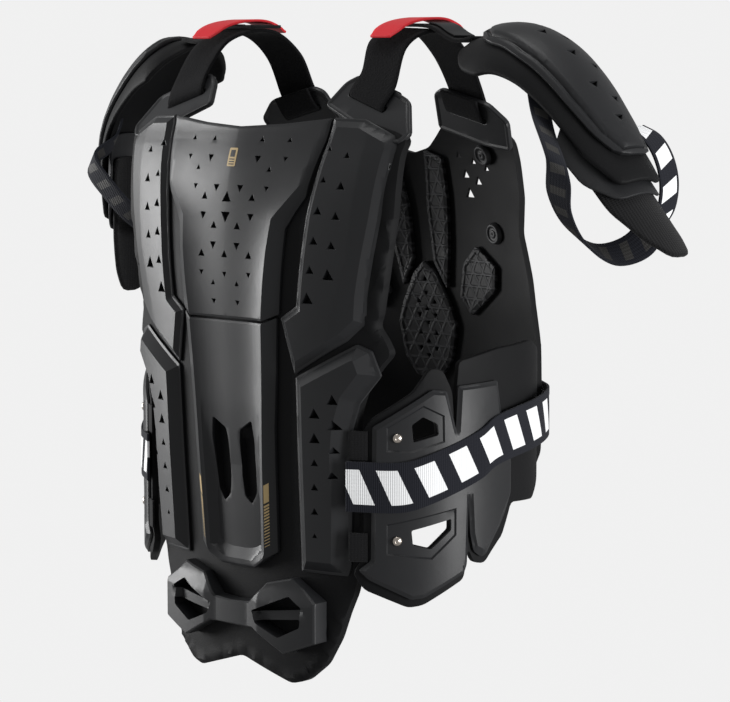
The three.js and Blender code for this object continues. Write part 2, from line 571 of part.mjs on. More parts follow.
sides.forEach(([name, side]) => {
  const bend = capBend[name];
  const turned = (geometry) => mirrored(geometry, side);
  add(`cap_pad_${name}`, turned(capLayer(bend, padWidths, 0.02, 0.95, flat(0), flat(capPadWall))), foam);
  const edge = (q, s) => capPadWall + capGap + capShellWall * clamp((1 - Math.abs(q)) * 4 + 0.3, 0, 1)
    * clamp(Math.min(s - 0.1, 0.88 - s) * 12, 0.3, 1);
  const shell = capLayer(bend, shellWidths, 0.12, 0.86, flat(capPadWall + capGap), edge);
  const cuts = capVents.map(([s, q]) => {
    const middle = capAt(bend)(q, s, 0);
    const normal = capAt(bend)(q, s, 1).sub(middle);
    const [a, b] = [capAt(bend)(q, s + 0.01, 0).sub(middle).normalize(), normal.clone().normalize()];
    const c = a.clone().cross(b);
    const corner = (u, v) => middle.clone().addScaledVector(a, u * ventMedium).addScaledVector(c, v
      * ventMedium);
    return prism([corner(-0.5, -0.5), corner(-0.5, 0.5), corner(0.5, 0)], normal, 22);
  });
  add(`cap_shell_${name}`, turned(geometryOf(cutAll(solid(shell), cuts))), plate);
  const flapTop = -capGap;
  const bicepTop = flapTop - shellWall - capGap;
  add(`cap_flap_${name}`, turned(capLayer(bend, flapWidths, 0.6, 0.99, flat(flapTop - shellWall),
    flat(flapTop), 1.15)), rubber);
  add(`bicep_pad_${name}`, turned(capLayer(bend, bicepWidths, 0.7, 1 + bicepLength / capLength,
    flat(bicepTop - bicepWall), flat(bicepTop), 1.1)), webbing);
  const under = -armStrapWall - 3 * gap;
  const start = [[-0.66, 0.48], [-0.86, 0.6]].map(([q, s]) => capAt(bend)(q, s, under));
  const end = [capAt(bend)(0.5, 1, bicepTop - bicepWall + under), capAt(bend)(0.3, 0.88, bicepTop
    - bicepWall + under)];
  const route = [...start, ...armRoute[name].map((p) => new THREE.Vector3(...p)), ...end];
  const wide = new THREE.Vector3(0.7, 0.3, -0.65);
  const wider = (widths) => widths.map(([s, w]) => [s, w * 1.05]);
  const above = solid(capLayer(bend, wider(padWidths), 0, 1, flat(-2 * gap), flat(capHalf * 0.5)));
  const over = solid(capLayer(bend, wider(bicepWidths), 0.68, 1.02 + bicepLength / capLength,
    flat(bicepTop - bicepWall - 2 * gap), flat(capHalf * 0.5), 1.12));
  const round = solid(capLayer(bend, wider(flapWidths), 0.59, 1, flat(flapTop - shellWall - 2 * gap),
    flat(capHalf * 0.5), 1.17));
  const loop = cutAll(solid(band(route, steady(wide), armStrapWidth, armStrapWall, 24)), [above, over,
    round]);
  add(`arm_strap_${name}`, turned(geometryOf(loop)), elastic);
});

// Side guards on the flanks, given as angle round the oval and share down
const guardPoint = (side) => ([angle, z]) => flankAt(angle, down(z), 0).multiply(new THREE.Vector3(side,
  1, 1));
const flankOut = (side) => new THREE.Vector3(side * 0.9, -0.44, 0);
function flankPanel(side, outline, low, high, holes = []) {
  const place = (angle, z, t) => flankAt(angle, z, t).multiply(new THREE.Vector3(side, 1, 1));
  const angles = outline.map(([angle]) => angle);
  const falls = outline.map(([, z]) => down(z));
  const columns = steps(-60, 48, 9);
  const rows = [Math.max(...falls) + 6, Math.min(...falls) - 6];
  const slabSolid = solid(slab(place, columns, rows, flat(low), flat(high)));
  const body = slabSolid.intersect(prism(outline.map(guardPoint(side)), flankOut(side), 120));
  return cutAll(body, holes.map((hole) => prism(hole.map(guardPoint(side)), flankOut(side), 120)));
}
const guardOutline = [[-46.4, 57.6], [-26.8, 52.2], [-21.6, 52.4], [-18.2, 58.2], [-17.4, 51.8],
  [-2, 51.5], [-0.6, 56],
  [3.1, 64.2], [3.1, 68.8], [-0.8, 73.6], [-6.3, 77.6], [-8.3, 77.8], [-11.2, 76.8], [-12.6, 74],
  [-13.2, 69], [-13.8, 78.6],
  [-14.9, 79.9], [-29.5, 83.2], [-33.8, 83.4], [-47.5, 80.4], [-50.7, 79], [-46.8, 77.5]];
const guardPadOutline = [[-49.6, 58.6], [-46.5, 56.4], [-33, 52.6], [-27, 49], [-22.5, 49.4],
  [-19, 52.6], [-18.3, 56.5], [-16.6, 48.2], [-0.6, 46.8],
  [18, 46.4], [34.5, 49], [35.6, 58], [33.5, 68], [20, 71], [4.6, 70.5], [0.4, 75.5], [-6, 79],
  [-10.5, 78.6], [-12.6, 76.5],
  [-14.4, 80.9], [-29.5, 84.4], [-34.5, 84.7], [-49, 82], [-52.5, 79.6], [-49, 77]];
const upperWindow = [[-33.8, 57.3], [-30, 56.1], [-25, 57.2], [-24.6, 58.9], [-33.3, 59.9]];
const lowerWindow = [[-33.8, 73], [-22.5, 71.8], [-20, 71.5], [-20, 73.2], [-27.2, 75.9], [-33.3, 75.2]];
const rivetPlaces = [['upper', -38.5, 59.2], ['lower', -38.5, 74.5]];
const guardPocket = 2 * gap;
sides.forEach(([name, side]) => {
  const holes = [upperWindow, lowerWindow];
  add(`guard_pad_${name}`, flankPanel(side, guardPadOutline, -guardPadWall - guardPocket, -guardPocket,
    holes), foam);
  add(`side_guard_${name}`, flankPanel(side, guardOutline, 0, guardWall, holes), plate);
  rivetPlaces.forEach(([place, angle, z]) => {
    const foot = flankAt(angle, down(z), guardWall + gap / 2);
    const axis = flankAt(angle, down(z), guardWall + 1).sub(foot).normalize();
    const dome = new THREE.SphereGeometry(rivetRadius, 12, 4, 0, Math.PI * 2, 0, Math.PI / 2);
    const bottom = new THREE.CircleGeometry(rivetRadius, 12).rotateX(Math.PI / 2);
    const head = mergeVertices(joinFaces([dome, bottom]), 1e-3).scale(1, rivetRise / rivetRadius, 1);
    head.applyQuaternion(new THREE.Quaternion().setFromUnitVectors(forwards, axis));
    add(`rivet_${place}_${name}`, mirrored(head.translate(foot.x, foot.y, foot.z), side), steel);
  });
});

// Positions of several geometries in one, with no normals
function joinFaces(geometries) {
  const positions = geometries.flatMap((g) => [...g.toNonIndexed().attributes.position.array]);
  const joined = new THREE.BufferGeometry();
  joined.setAttribute('position', new THREE.Float32BufferAttribute(positions, 3));
  return joined;
}

// Elastic straps round the flanks, from the kidney plates to the front, and the tabs under them.
// Each row is the angle round the oval, the share down and the stand-off.
const strapLine = [[-54.5, 66.4, 0], [-36.3, 66.4, 0], [-27.6, 65.3, 0], [-9.3, 62.1, 0],
  [-4.2, 60.6, 0], [14, 58.9, 1],
  [26, 58.4, 2], [38, 58.2, 4], [50, 58.2, 6], [57, 58.2, 9]];
const strapSeat = guardWall + sideStrapWall / 2 + 5 * gap;
const sideStrapPoints = strapLine.map(([angle, z, t]) => flankAt(angle, down(z), strapSeat + t));
const tabLine = [[-53.6, 0], [-50, -0.2], [-47.8, -0.4]];
const tabFalls = [['upper', 60.4], ['lower', 75.6]];
sides.forEach(([name, side]) => {
  add(`side_strap_${name}`, mirrored(band(sideStrapPoints, steady(up), sideStrapWidth, sideStrapWall,
    26), side), elastic);
  tabFalls.forEach(([place, fall]) => {
    const route = tabLine.map(([angle, t]) => flankAt(angle, down(fall), t + tabThick / 2));
    add(`guard_tab_${place}_${name}`, mirrored(band(route, steady(up), tabLength, tabThick, 4), side),
      webbing);
  });
});

export default part;
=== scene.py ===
import math
import bpy
from mathutils import Matrix, Vector


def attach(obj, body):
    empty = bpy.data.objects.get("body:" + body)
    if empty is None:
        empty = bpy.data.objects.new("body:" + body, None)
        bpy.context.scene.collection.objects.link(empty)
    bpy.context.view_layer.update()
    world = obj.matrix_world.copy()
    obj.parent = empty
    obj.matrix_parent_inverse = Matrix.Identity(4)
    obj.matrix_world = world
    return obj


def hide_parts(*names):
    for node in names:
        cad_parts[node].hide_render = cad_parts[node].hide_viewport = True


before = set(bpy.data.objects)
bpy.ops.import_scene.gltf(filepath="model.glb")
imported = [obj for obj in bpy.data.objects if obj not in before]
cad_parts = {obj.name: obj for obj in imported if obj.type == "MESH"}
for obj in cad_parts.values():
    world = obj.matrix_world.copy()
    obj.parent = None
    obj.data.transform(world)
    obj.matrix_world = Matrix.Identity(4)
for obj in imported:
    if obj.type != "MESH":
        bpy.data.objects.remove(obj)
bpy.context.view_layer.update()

# Sizes in millimetres, as in the part's source
torso_half, torso_length = 200, 600
back_depth, chest_depth = 140, 150
side_drop, top_drop = 61, 38
flank_half, flank_depth, flank_centre = 197, 150, 12
liner_wall, chest_wall, shell_wall = 9, 8, 3
gap = 0.35
strap_width, strap_wall = 44, 3
cap_length, cap_half, cap_sag, cap_start, cap_lift, cap_forward = 252, 52, 40, 171, -16, 4
large, medium, small = 10.5, 7, 4.8
SIDES = (("right", 1), ("left", -1))

# One percent of the torso across and down
share_x, share_z = torso_half / 100, -torso_length / 100


def clamp(value, low=0.0, high=1.0):
    return max(low, min(high, value))


def lerp(a, b, share):
    return a + (b - a) * share


def smooth(value, low=0.0, high=1.0):
    share = clamp((value - low) / (high - low))
    return share * share * (3 - 2 * share)


def along(table, place):
    """Value at a place in rows of (place, value)"""
    i = 1
    while i < len(table) - 1 and table[i][0] < place:
        i += 1
    a, b = table[i - 1], table[i]
    return lerp(a[1], b[1], clamp((place - a[0]) / (b[0] - a[0])))


def eased(table, place, reach=3.0):
    """The same table with its corners rounded off"""
    weights = ((-1, 1), (-0.5, 2), (0, 2), (0.5, 2), (1, 1))
    return sum(along(table, place + reach * k) * w for k, w in weights) / 8


# How far out the middle line stands at each percent of the height, as a share of the depth
back_line = [(13, .82), (18.5, .916), (24.3, .964), (30, .982), (36, .987), (43, .966), (50.3, .943),
             (57, .928), (63.8, .914), (72, .89), (80.7, .868), (90, .868), (99, .868)]
chest_line = [(10, .55), (13, .64), (17.7, .767), (24, .83), (31, .887), (39, .935), (48.2, .98),
              (59, .985), (70, .98), (80, .93)]


def drop(x, z):
    """How far the torso's surface curves away towards its sides"""
    low = clamp((-z / torso_length - 0.17) / 0.25)
    return lerp(top_drop, side_drop, low) * (abs(x) / torso_half) ** lerp(1.4, 2.1, low)


def back_at(x, z, t):
    """A place on the back, and t outside it"""
    return Vector((x, -back_depth * eased(back_line, -100 * z / torso_length) + drop(x, z) - t, z))


def chest_at(x, z, t):
    """A place on the chest, and t outside it"""
    return Vector((x, chest_depth * eased(chest_line, -100 * z / torso_length) - drop(x, z) + t, z))


# On the flanks a piece is laid out flat with 3 mm of width to a degree round the oval
flank_scale = 3.0


def flank_at(x, z, t):
    """A flat place laid round the oval, and t outside it"""
    angle = math.radians(x / flank_scale)
    c, s = math.cos(angle), math.sin(angle)
    power = 2 / 2.3
    return Vector(((flank_half + t) * c ** power,
                   flank_centre + (flank_depth + t) * math.copysign(abs(s) ** power, s), z))


def shares(rows):
    """Outline given in percent of the torso, in millimetres"""
    return [(torso_half * x / 100, -torso_length * z / 100) for x, z in rows]


def round_flank(rows):
    return [(angle * flank_scale, -torso_length * z / 100) for angle, z in rows]


def both(points):
    """An outline of one half from the middle out and back, with its mirror image"""
    return points + [(-x, z) for x, z in reversed(points) if x > 0]


def sided(points, side):
    return [(side * x, z) for x, z in points]


def edge_distance(outline, x, z):
    """Distance inside an outline, negative outside it"""
    nearest, within = 1e9, False
    for i, a in enumerate(outline):
        b = outline[(i + 1) % len(outline)]
        dx, dz = b[0] - a[0], b[1] - a[1]
        share = clamp(((x - a[0]) * dx + (z - a[1]) * dz) / (dx * dx + dz * dz or 1))
        nearest = min(nearest, math.hypot(x - a[0] - dx * share, z - a[1] - dz * share))
        if (a[1] > z) != (b[1] > z) and x < a[0] + (z - a[1]) * dx / (b[1] - a[1]):
            within = not within
    return nearest if within else -nearest


# Working with one object at a time
def alone(piece):
    bpy.ops.object.select_all(action="DESELECT")
    piece.select_set(True)
    bpy.context.view_layer.objects.active = piece


def edit(piece):
    alone(piece)
    bpy.ops.object.mode_set(mode="EDIT")
    bpy.ops.mesh.select_all(action="SELECT")


def leave():
    bpy.ops.object.mode_set(mode="OBJECT")


def modify(piece, kind, **values):
    alone(piece)
    bpy.ops.object.modifier_add(type=kind)
    modifier = piece.modifiers[-1]
    for name, value in values.items():
        setattr(modifier, name, value)
    bpy.ops.object.modifier_apply(modifier=modifier.name)


def faces_where(piece, test):
    """Selects the faces that a test picks by their centre and normal"""
    bpy.ops.object.mode_set(mode="EDIT")
    bpy.ops.mesh.select_mode(type="FACE")
    bpy.ops.mesh.select_all(action="DESELECT")
    bpy.ops.object.mode_set(mode="OBJECT")
    for face in piece.data.polygons:
        face.select = test(face.center, face.normal)
    bpy.ops.object.mode_set(mode="EDIT")


def outwards(piece):
    """Turns all faces of a closed piece outwards and leaves edit mode"""
    if piece.mode == "EDIT":
        leave()
    edit(piece)
    bpy.ops.mesh.normals_make_consistent(inside=False)
    leave()
    volume = 0.0
    for face in piece.data.polygons:
        a = piece.data.vertices[face.vertices[0]].co
        for i in range(1, len(face.vertices) - 1):
            b, c = (piece.data.vertices[face.vertices[k]].co for k in (i, i + 1))
            volume += a.dot(b.cross(c))
    if volume < 0:
        edit(piece)
        bpy.ops.mesh.flip_normals()
        leave()


def block(outline, low, high, corner=0.0):
    """A flat outline, its corners rounded, drawn up into a block"""
    bpy.ops.object.select_all(action="DESELECT")
    bpy.ops.mesh.primitive_circle_add(vertices=len(outline), fill_type="NGON")
    piece = bpy.context.object
    for vertex, (x, z) in zip(piece.data.vertices, outline):
        vertex.co = (x, z, low)
    edit(piece)
    if corner:
        bpy.ops.mesh.bevel(offset=corner, segments=2, affect="VERTICES", clamp_overlap=True)
        bpy.ops.mesh.select_all(action="SELECT")
    bpy.ops.mesh.extrude_region_move(TRANSFORM_OT_translate={"value": (0, 0, high - low)})
    outwards(piece)
    return piece


def joined(pieces):
    bpy.ops.object.select_all(action="DESELECT")
    for piece in pieces:
        piece.select_set(True)
    bpy.context.view_layer.objects.active = pieces[0]
    if len(pieces) > 1:
        bpy.ops.object.join()
    return pieces[0]


def cut(piece, cutters):
    """Takes closed cutters out of a piece"""
    tool = joined(cutters)
    modify(piece, "BOOLEAN", operation="DIFFERENCE", solver="EXACT", object=tool)
    bpy.data.objects.remove(tool, do_unlink=True)


def copied(piece):
    twin = piece.copy()
    twin.data = piece.data.copy()
    bpy.context.collection.objects.link(twin)
    return twin


# How far a vent's centre lies off the middle of its height, for its width
vent_centre = 0.144


def vent_pegs(rows, low=-30, high=40):
    """Triangular pegs at (x, z, width, turn), copied from one"""
    bpy.ops.object.select_all(action="DESELECT")
    bpy.ops.mesh.primitive_cylinder_add(vertices=3, radius=1, depth=high - low,
                                        location=(0, 0, (low + high) / 2))
    bpy.ops.object.transform_apply(location=True, rotation=True, scale=True)
    first = bpy.context.object
    span = max(v.co.x for v in first.data.vertices) - min(v.co.x for v in first.data.vertices)
    pegs = []
    for x, z, width, turn in rows:
        peg = copied(first)
        peg.data.transform(Matrix.Diagonal((width / span, turn * width / span, 1, 1)))
        peg.data.transform(Matrix.Translation((x, z - turn * width * vent_centre, 0)))
        outwards(peg)
        pegs.append(peg)
    bpy.data.objects.remove(first, do_unlink=True)
    return pegs


def sliced(piece, step, lines=()):
    """Slices a flat block into squares and along lines, so that it can take a curve"""
    xs = [v.co.x for v in piece.data.vertices]
    zs = [v.co.y for v in piece.data.vertices]
    columns, rows = (range(math.ceil(min(row) / step), math.floor(max(row) / step) + 1)
                     for row in (xs, zs))
    cuts = [((k * step + 0.013, 0, 0), (1, 0, 0)) for k in columns]
    cuts += [((0, k * step + 0.017, 0), (0, 1, 0)) for k in rows]
    for (ax, az), (bx, bz) in lines:
        run = math.hypot(bx - ax, bz - az)
        if run > 0.05:
            cuts.append(((ax, az, 0), ((bz - az) / run, (ax - bx) / run, 0)))
    edit(piece)
    for place, normal in cuts:
        bpy.ops.mesh.select_all(action="SELECT")
        bpy.ops.mesh.bisect(plane_co=place, plane_no=normal, threshold=1e-4)
    leave()


def inner_lines(outline, distances):
    """Lines at set distances inside the longer edges of an outline, and from the corners between them"""
    sides = list(zip(outline, outline[1:] + outline[:1]))
    turn = math.copysign(1, sum(a[0] * b[1] - b[0] * a[1] for a, b in sides))
    lines = []
    for i, (a, b) in enumerate(sides):
        c = outline[(i + 2) % len(outline)]
        run, after = (math.hypot(q[0] - p[0], q[1] - p[1]) for p, q in ((a, b), (b, c)))
        if distances and min(run, after) > 12:
            lines.append((b, (b[0] + (a[0] - b[0]) / run + (c[0] - b[0]) / after,
                              b[1] + (a[1] - b[1]) / run + (c[1] - b[1]) / after)))
        if run > 12:
            across = (-(b[1] - a[1]) / run * turn, (b[0] - a[0]) / run * turn)
            lines += [tuple((p[0] + across[0] * d, p[1] + across[1] * d) for p in (a, b))
                      for d in distances]
    return lines


def flat_map(piece):
    """Keeps the flat layout in metres as the piece's own UV"""
    layer = piece.data.uv_layers.active or piece.data.uv_layers.new(name="flat")
    for loop in piece.data.loops:
        co = piece.data.vertices[loop.vertex_index].co
        layer.data[loop.index].uv = (co.x / 1000, co.y / 1000)


def shaded(piece, angle=32):
    alone(piece)
    bpy.ops.object.shade_smooth_by_angle(angle=math.radians(angle))


def formed(outline, place, low, wall, rise=None, holes=(), rings=(), edge=0.8, corner=1.5, step=7,
           lines=(), edge_steps=2, angle=19):
    """A flat block with rounded edges and holes, then formed over a surface. rise gives how far its outer
    face stands above the block's, from the place and the distance to the edge."""
    piece = block(outline, 0, wall, corner)
    if holes:
        cut(piece, list(holes))
    if edge:
        modify(piece, "BEVEL", width=edge, segments=edge_steps, limit_method="ANGLE",
               angle_limit=math.radians(50))
    sliced(piece, step, [*lines, *inner_lines(outline, rings)])
    flat_map(piece)
    for vertex in piece.data.vertices:
        x, z, t = vertex.co
        lift = rise(x, z, edge_distance(outline, x, z)) * clamp(t / wall) if rise else 0
        vertex.co = place(x, z, low + t + lift) / 1000
    edit(piece)
    bpy.ops.mesh.remove_doubles(threshold=1e-6)
    leave()
    outwards(piece)
    shaded(piece, angle)
    return piece


class Route:
    """A smooth way through points, read by its share of the length"""

    def __init__(self, points):
        ends = [2 * points[0] - points[1], *points, 2 * points[-1] - points[-2]]
        self.places = []
        for i in range(1, len(ends) - 2):
            a, b, c, d = ends[i - 1:i + 3]
            da, db, dc = (max((q - p).length, 1e-4) ** 0.5 for p, q in ((a, b), (b, c), (c, d)))
            start = ((b - a) / da - (c - a) / (da + db) + (c - b) / db) * db
            end = ((c - b) / db - (d - b) / (db + dc) + (d - c) / dc) * db
            for k in range(24):
                s = k / 24
                self.places.append(b + start * s + (3 * (c - b) - 2 * start - end) * s * s
                                   + (2 * (b - c) + start + end) * s ** 3)
        self.places.append(points[-1].copy())
        self.runs = [0.0]
        for p, q in zip(self.places, self.places[1:]):
            self.runs.append(self.runs[-1] + (q - p).length)
        self.length = self.runs[-1]

    def at(self, share):
        run = clamp(share) * self.length
        i = 1
        while i < len(self.runs) - 1 and self.runs[i] < run:
            i += 1
        piece = clamp((run - self.runs[i - 1]) / max(self.runs[i] - self.runs[i - 1], 1e-9))
        return self.places[i - 1].lerp(self.places[i], piece)

    def heading(self, share):
        return (self.at(share + 0.004) - self.at(share - 0.004)).normalized()


def band(points, sideways, width, wall, pieces, lift=0.0, start=0.0, end=1.0, across=6, side=1, crown=0.0,
         taper=None, edge=0.5):
    """Flat webbing along a way: a grid laid along it, thickened and softened at its edges"""
    way = Route(points)
    bpy.ops.object.select_all(action="DESELECT")
    bpy.ops.mesh.primitive_grid_add(x_subdivisions=across, y_subdivisions=pieces, size=2)
    piece = bpy.context.object
    layer = piece.data.uv_layers.active
    flat = {}
    for vertex in piece.data.vertices:
        q, share = vertex.co.x, lerp(start, end, (vertex.co.y + 1) / 2)
        beside = sideways(share).normalized()
        normal = beside.cross(way.heading(share)).normalized()
        half = width / 2 * (taper(share) if taper else 1)
        flat[vertex.index] = (q * half / 1000, share * way.length / 1000)
        spot = way.at(share) + beside * q * half + normal * (lift + crown * (1 - q * q))
        vertex.co = Vector((side * spot.x, spot.y, spot.z)) / 1000
    for loop in piece.data.loops:
        layer.data[loop.index].uv = flat[loop.vertex_index]
    modify(piece, "SOLIDIFY", thickness=wall / 1000, offset=0, use_even_offset=True)
    if edge:
        modify(piece, "BEVEL", width=edge / 1000, segments=2, limit_method="ANGLE",
               angle_limit=math.radians(60))
    outwards(piece)
    shaded(piece, 45)
    return piece


# Finishes
class Wire:
    """A socket in sums of shader maths"""

    def __init__(self, tree, socket):
        self.tree, self.socket = tree, socket

    def maths(self, operation, *others):
        node = self.tree.nodes.new("ShaderNodeMath")
        node.operation = operation
        for hole, value in zip(node.inputs, (self, *others)):
            connect(self.tree, value, hole)
        return Wire(self.tree, node.outputs[0])

    def __add__(self, other):
        return self.maths("ADD", other)

    def __sub__(self, other):
        return self.maths("SUBTRACT", other)

    def __rsub__(self, other):
        return (self * -1) + other

    def __mul__(self, other):
        return self.maths("MULTIPLY", other)

    def __truediv__(self, other):
        return self.maths("DIVIDE", other)

    def __abs__(self):
        return self.maths("ABSOLUTE")

    def fract(self):
        return self.maths("FRACT")

    def below(self, value):
        return self.maths("LESS_THAN", value)

    def most(self, other):
        return self.maths("MAXIMUM", other)

    def sine(self):
        return self.maths("SINE")

    def kept(self):
        """Held between 0 and 1"""
        result = self + 0
        result.socket.node.use_clamp = True
        return result


def connect(tree, value, hole):
    if isinstance(value, Wire):
        tree.links.new(value.socket, hole)
    else:
        hole.default_value = value


class Finish:
    """A material with a Principled shader"""

    def __init__(self, name, colour, roughness, **constants):
        self.material = bpy.data.materials.new(name)
        self.material.use_nodes = True
        self.tree = self.material.node_tree
        self.shader = self.tree.nodes["Principled BSDF"]
        self.shader.inputs["Base Color"].default_value = (*colour, 1)
        self.shader.inputs["Roughness"].default_value = roughness
        for key, value in constants.items():
            self.shader.inputs[key.replace("_", " ")].default_value = value

    def node(self, kind, output=0, **values):
        """Any other node: its inputs by name, and its settings"""
        node = self.tree.nodes.new(kind)
        for key, value in values.items():
            name = key.replace("_", " ")
            if name in node.inputs:
                connect(self.tree, value, node.inputs[name])
            else:
                setattr(node, key, value)
        return Wire(self.tree, node.outputs[output])

    def place(self):
        return self.node("ShaderNodeTexCoord", "Object")

    def flat(self):
        parts = self.node("ShaderNodeTexCoord", "UV")
        split = self.tree.nodes.new("ShaderNodeSeparateXYZ")
        self.tree.links.new(parts.socket, split.inputs[0])
        return Wire(self.tree, split.outputs[0]), Wire(self.tree, split.outputs[1])

    def noise(self, scale, detail=2.0):
        return self.node("ShaderNodeTexNoise", "Factor" if "Factor" in NOISE_OUTPUTS else "Fac",
                         Vector=self.place(), Scale=scale, Detail=detail)

    def blend(self, share, first, second):
        node = self.tree.nodes.new("ShaderNodeMix")
        node.data_type = "RGBA"
        connect(self.tree, share, node.inputs["Factor"])
        for hole, value in ((node.inputs[6], first), (node.inputs[7], second)):
            connect(self.tree, value if isinstance(value, Wire) else (*value, 1), hole)
        return Wire(self.tree, node.outputs[2])

    def set(self, name, value):
        connect(self.tree, value, self.shader.inputs[name])

    def bump(self, height, distance, strength=1.0):
        self.set("Normal", self.node("ShaderNodeBump", Height=height, Distance=distance,
                                     Strength=strength))


probe = bpy.data.materials.new("probe")
probe.use_nodes = True
NOISE_OUTPUTS = [o.name for o in probe.node_tree.nodes.new("ShaderNodeTexNoise").outputs]
bpy.data.materials.remove(probe)


def moulded(name, dark, light, roughness, grain=0.00006, gleam=0.32):
    finish = Finish(name, dark, roughness, Specular_IOR_Level=gleam)
    cloud = finish.noise(7, 4)
    finish.set("Base Color", finish.blend(cloud, dark, light))
    finish.set("Roughness", finish.noise(23, 4) * 0.16 + (roughness - 0.08))
    finish.bump(finish.noise(1500, 2), grain)
    return finish.material


matte_shell = moulded("matte_shell", (0.0125, 0.013, 0.0145), (0.017, 0.0175, 0.019), 0.42)
grey_rubber = moulded("grey_rubber", (0.012, 0.0125, 0.014), (0.016, 0.0165, 0.018), 0.5)
soft_foam = moulded("soft_foam", (0.0045, 0.0046, 0.0052), (0.0065, 0.0067, 0.0073), 0.6, 0.0002, 0.14)


def netted(name):
    """Rubber with a fine net of raised lines that meet in triangles"""
    finish = Finish(name, (0.012, 0.0125, 0.014), 0.55, Specular_IOR_Level=0.3)
    u, v = finish.flat()
    pitch = 0.0125
    net = None
    for turn in (0, 60, 120):
        c, s = math.cos(math.radians(turn)), math.sin(math.radians(turn))
        line = abs(((u * (s / pitch) + v * (c / pitch)) + 0.25).fract() - 0.5) * 2
        net = line if net is None else net.most(line)
    ridge = ((net - 0.74) / 0.16).kept()
    finish.set("Base Color", finish.blend(ridge, (0.005, 0.0052, 0.006), (0.03, 0.0305, 0.033)))
    finish.bump(ridge, 0.0009)
    return finish.material


def woven(name, dark, light, pitch=0.0016, roughness=0.85, depth=0.00025):
    """Webbing: ribs along and across its own layout"""
    finish = Finish(name, dark, roughness, Sheen_Weight=0.06, Sheen_Roughness=0.5, Specular_IOR_Level=0.2)
    u, v = finish.flat()
    ribs = (u * (2 * math.pi / pitch)).sine() * 0.5 + (v * (2 * math.pi / pitch / 0.8)).sine() * 0.5
    height = ribs * 0.5 + finish.noise(900, 3)
    finish.set("Base Color", finish.blend((height * 0.6).kept(), dark, light))
    finish.bump(height, depth)
    return finish.material


def fleecy(name, dark, light):
    finish = Finish(name, dark, 0.95, Sheen_Weight=0.02, Sheen_Roughness=0.6, Specular_IOR_Level=0.08)
    fuzz = finish.noise(650, 5)
    finish.set("Base Color", finish.blend(fuzz, dark, light))
    finish.bump(fuzz, 0.0009)
    return finish.material


def printed(name, pitch, width, high, ink, slant=0.45):
    """Ribbed elastic with a print of slanted bars"""
    finish = Finish(name, (0.010, 0.011, 0.016), 0.8, Sheen_Weight=0.05, Specular_IOR_Level=0.25)
    u, v = finish.flat()
    ribs = (v * (2 * math.pi / 0.0019)).sine() * 0.5 + (u * (2 * math.pi / 0.0034)).sine() * 0.3
    turn = ((v + u * slant) / pitch).fract()
    bar = turn.below(width) * abs(u).below(high)
    finish.set("Base Color", finish.blend(bar, (0.008, 0.009, 0.014), ink))
    finish.set("Roughness", 0.85 - bar * 0.25)
    finish.bump(ribs + bar * 0.6, 0.00022)
    return finish.material


textured_rubber = netted("textured_rubber")
black_webbing = woven("black_webbing", (0.005, 0.005, 0.0055), (0.014, 0.014, 0.0155))
loop_webbing = fleecy("loop_webbing", (0.0035, 0.0035, 0.004), (0.012, 0.012, 0.013))
black_fabric = woven("black_fabric", (0.006, 0.006, 0.0066), (0.013, 0.013, 0.0142), 0.0024, 0.9, 0.0004)
printed_elastic = printed("printed_elastic", 0.034, 0.56, 0.0155, (0.86, 0.87, 0.88))
loop_elastic = printed("loop_elastic", 0.03, 0.5, 0.009, (0.86, 0.87, 0.88))
arm_elastic = printed("arm_elastic", 0.02, 0.4, 0.009, (0.035, 0.034, 0.033))
red_tab = moulded("red_tab", (0.62, 0.012, 0.022), (0.70, 0.02, 0.03), 0.5)
tan_mark = moulded("tan_mark", (0.42, 0.31, 0.15), (0.46, 0.34, 0.17), 0.5)
steel = Finish("rivet_steel", (0.52, 0.47, 0.42), 0.28, Metallic=1.0)
steel.set("Roughness", steel.noise(300, 3) * 0.2 + 0.18)
rivet_steel = steel.material


def kept(piece, node, material, stands_for=True):
    """Names a finished piece and hands it to the frame"""
    piece.name = piece.data.name = "look_" + node
    piece.data.materials.clear()
    piece.data.materials.append(material)
    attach(piece, "root")
    if stands_for:
        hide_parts(node)
    return piece


def mirrored(place, side):
    def placed(x, z, t):
        spot = place(x, z, t)
        return Vector((side * spot.x, spot.y, spot.z))
    return placed


# Strap anchors: slotted plates, each in its own plane
back_slot, chest_slot = Vector((114, -75, -62)), Vector((104.5, 74.5, -75))
back_slot_along = Vector((42.5, -3.5, -14)).normalized()
chest_slot_along = Vector((43.8, 0, -11)).normalized()
back_anchor = [(-38, -20), (-36, 8), (-28, 20), (-14, 24), (40, 19), (66, -8), (62, -22), (34, -27)]
chest_anchor = [(-40, -26), (-38, 14), (-28, 22), (30, 22), (52, 8), (50, -24), (20, -28)]
slot_hole = [(-24, -2.4), (24, -2.4), (24, 4), (-24, 4)]
# Outline, middle of the slot, its direction and roughly the way up the plate
anchor_plans = {"back": (back_anchor, back_slot, back_slot_along, Vector((0.18, 0.6, 0.78))),
                "chest": (chest_anchor, chest_slot, chest_slot_along, Vector((0.12, -0.5, 0.86)))}


def anchor_at(plan):
    """Places in an anchor's own plane, whose slot runs along u"""
    _, centre, u, v = plan
    n = u.cross(v).normalized()
    up = n.cross(u)
    return lambda a, b, t: centre + u * a + up * b + n * t


for place, plan in anchor_plans.items():
    for name, side in SIDES:
        rim = lambda x, z, d: 0.9 * (1 - smooth(d, 2.5, 4.5))
        hole = block(slot_hole, -20, 30, 2)
        piece = formed(plan[0], mirrored(anchor_at(plan), side), -2, 4, rise=rim, rings=(2.5, 4.5),
                       holes=[hole], edge=0.9, corner=4, step=9)
        kept(piece, f"strap_anchor_{place}_{name}", matte_shell)

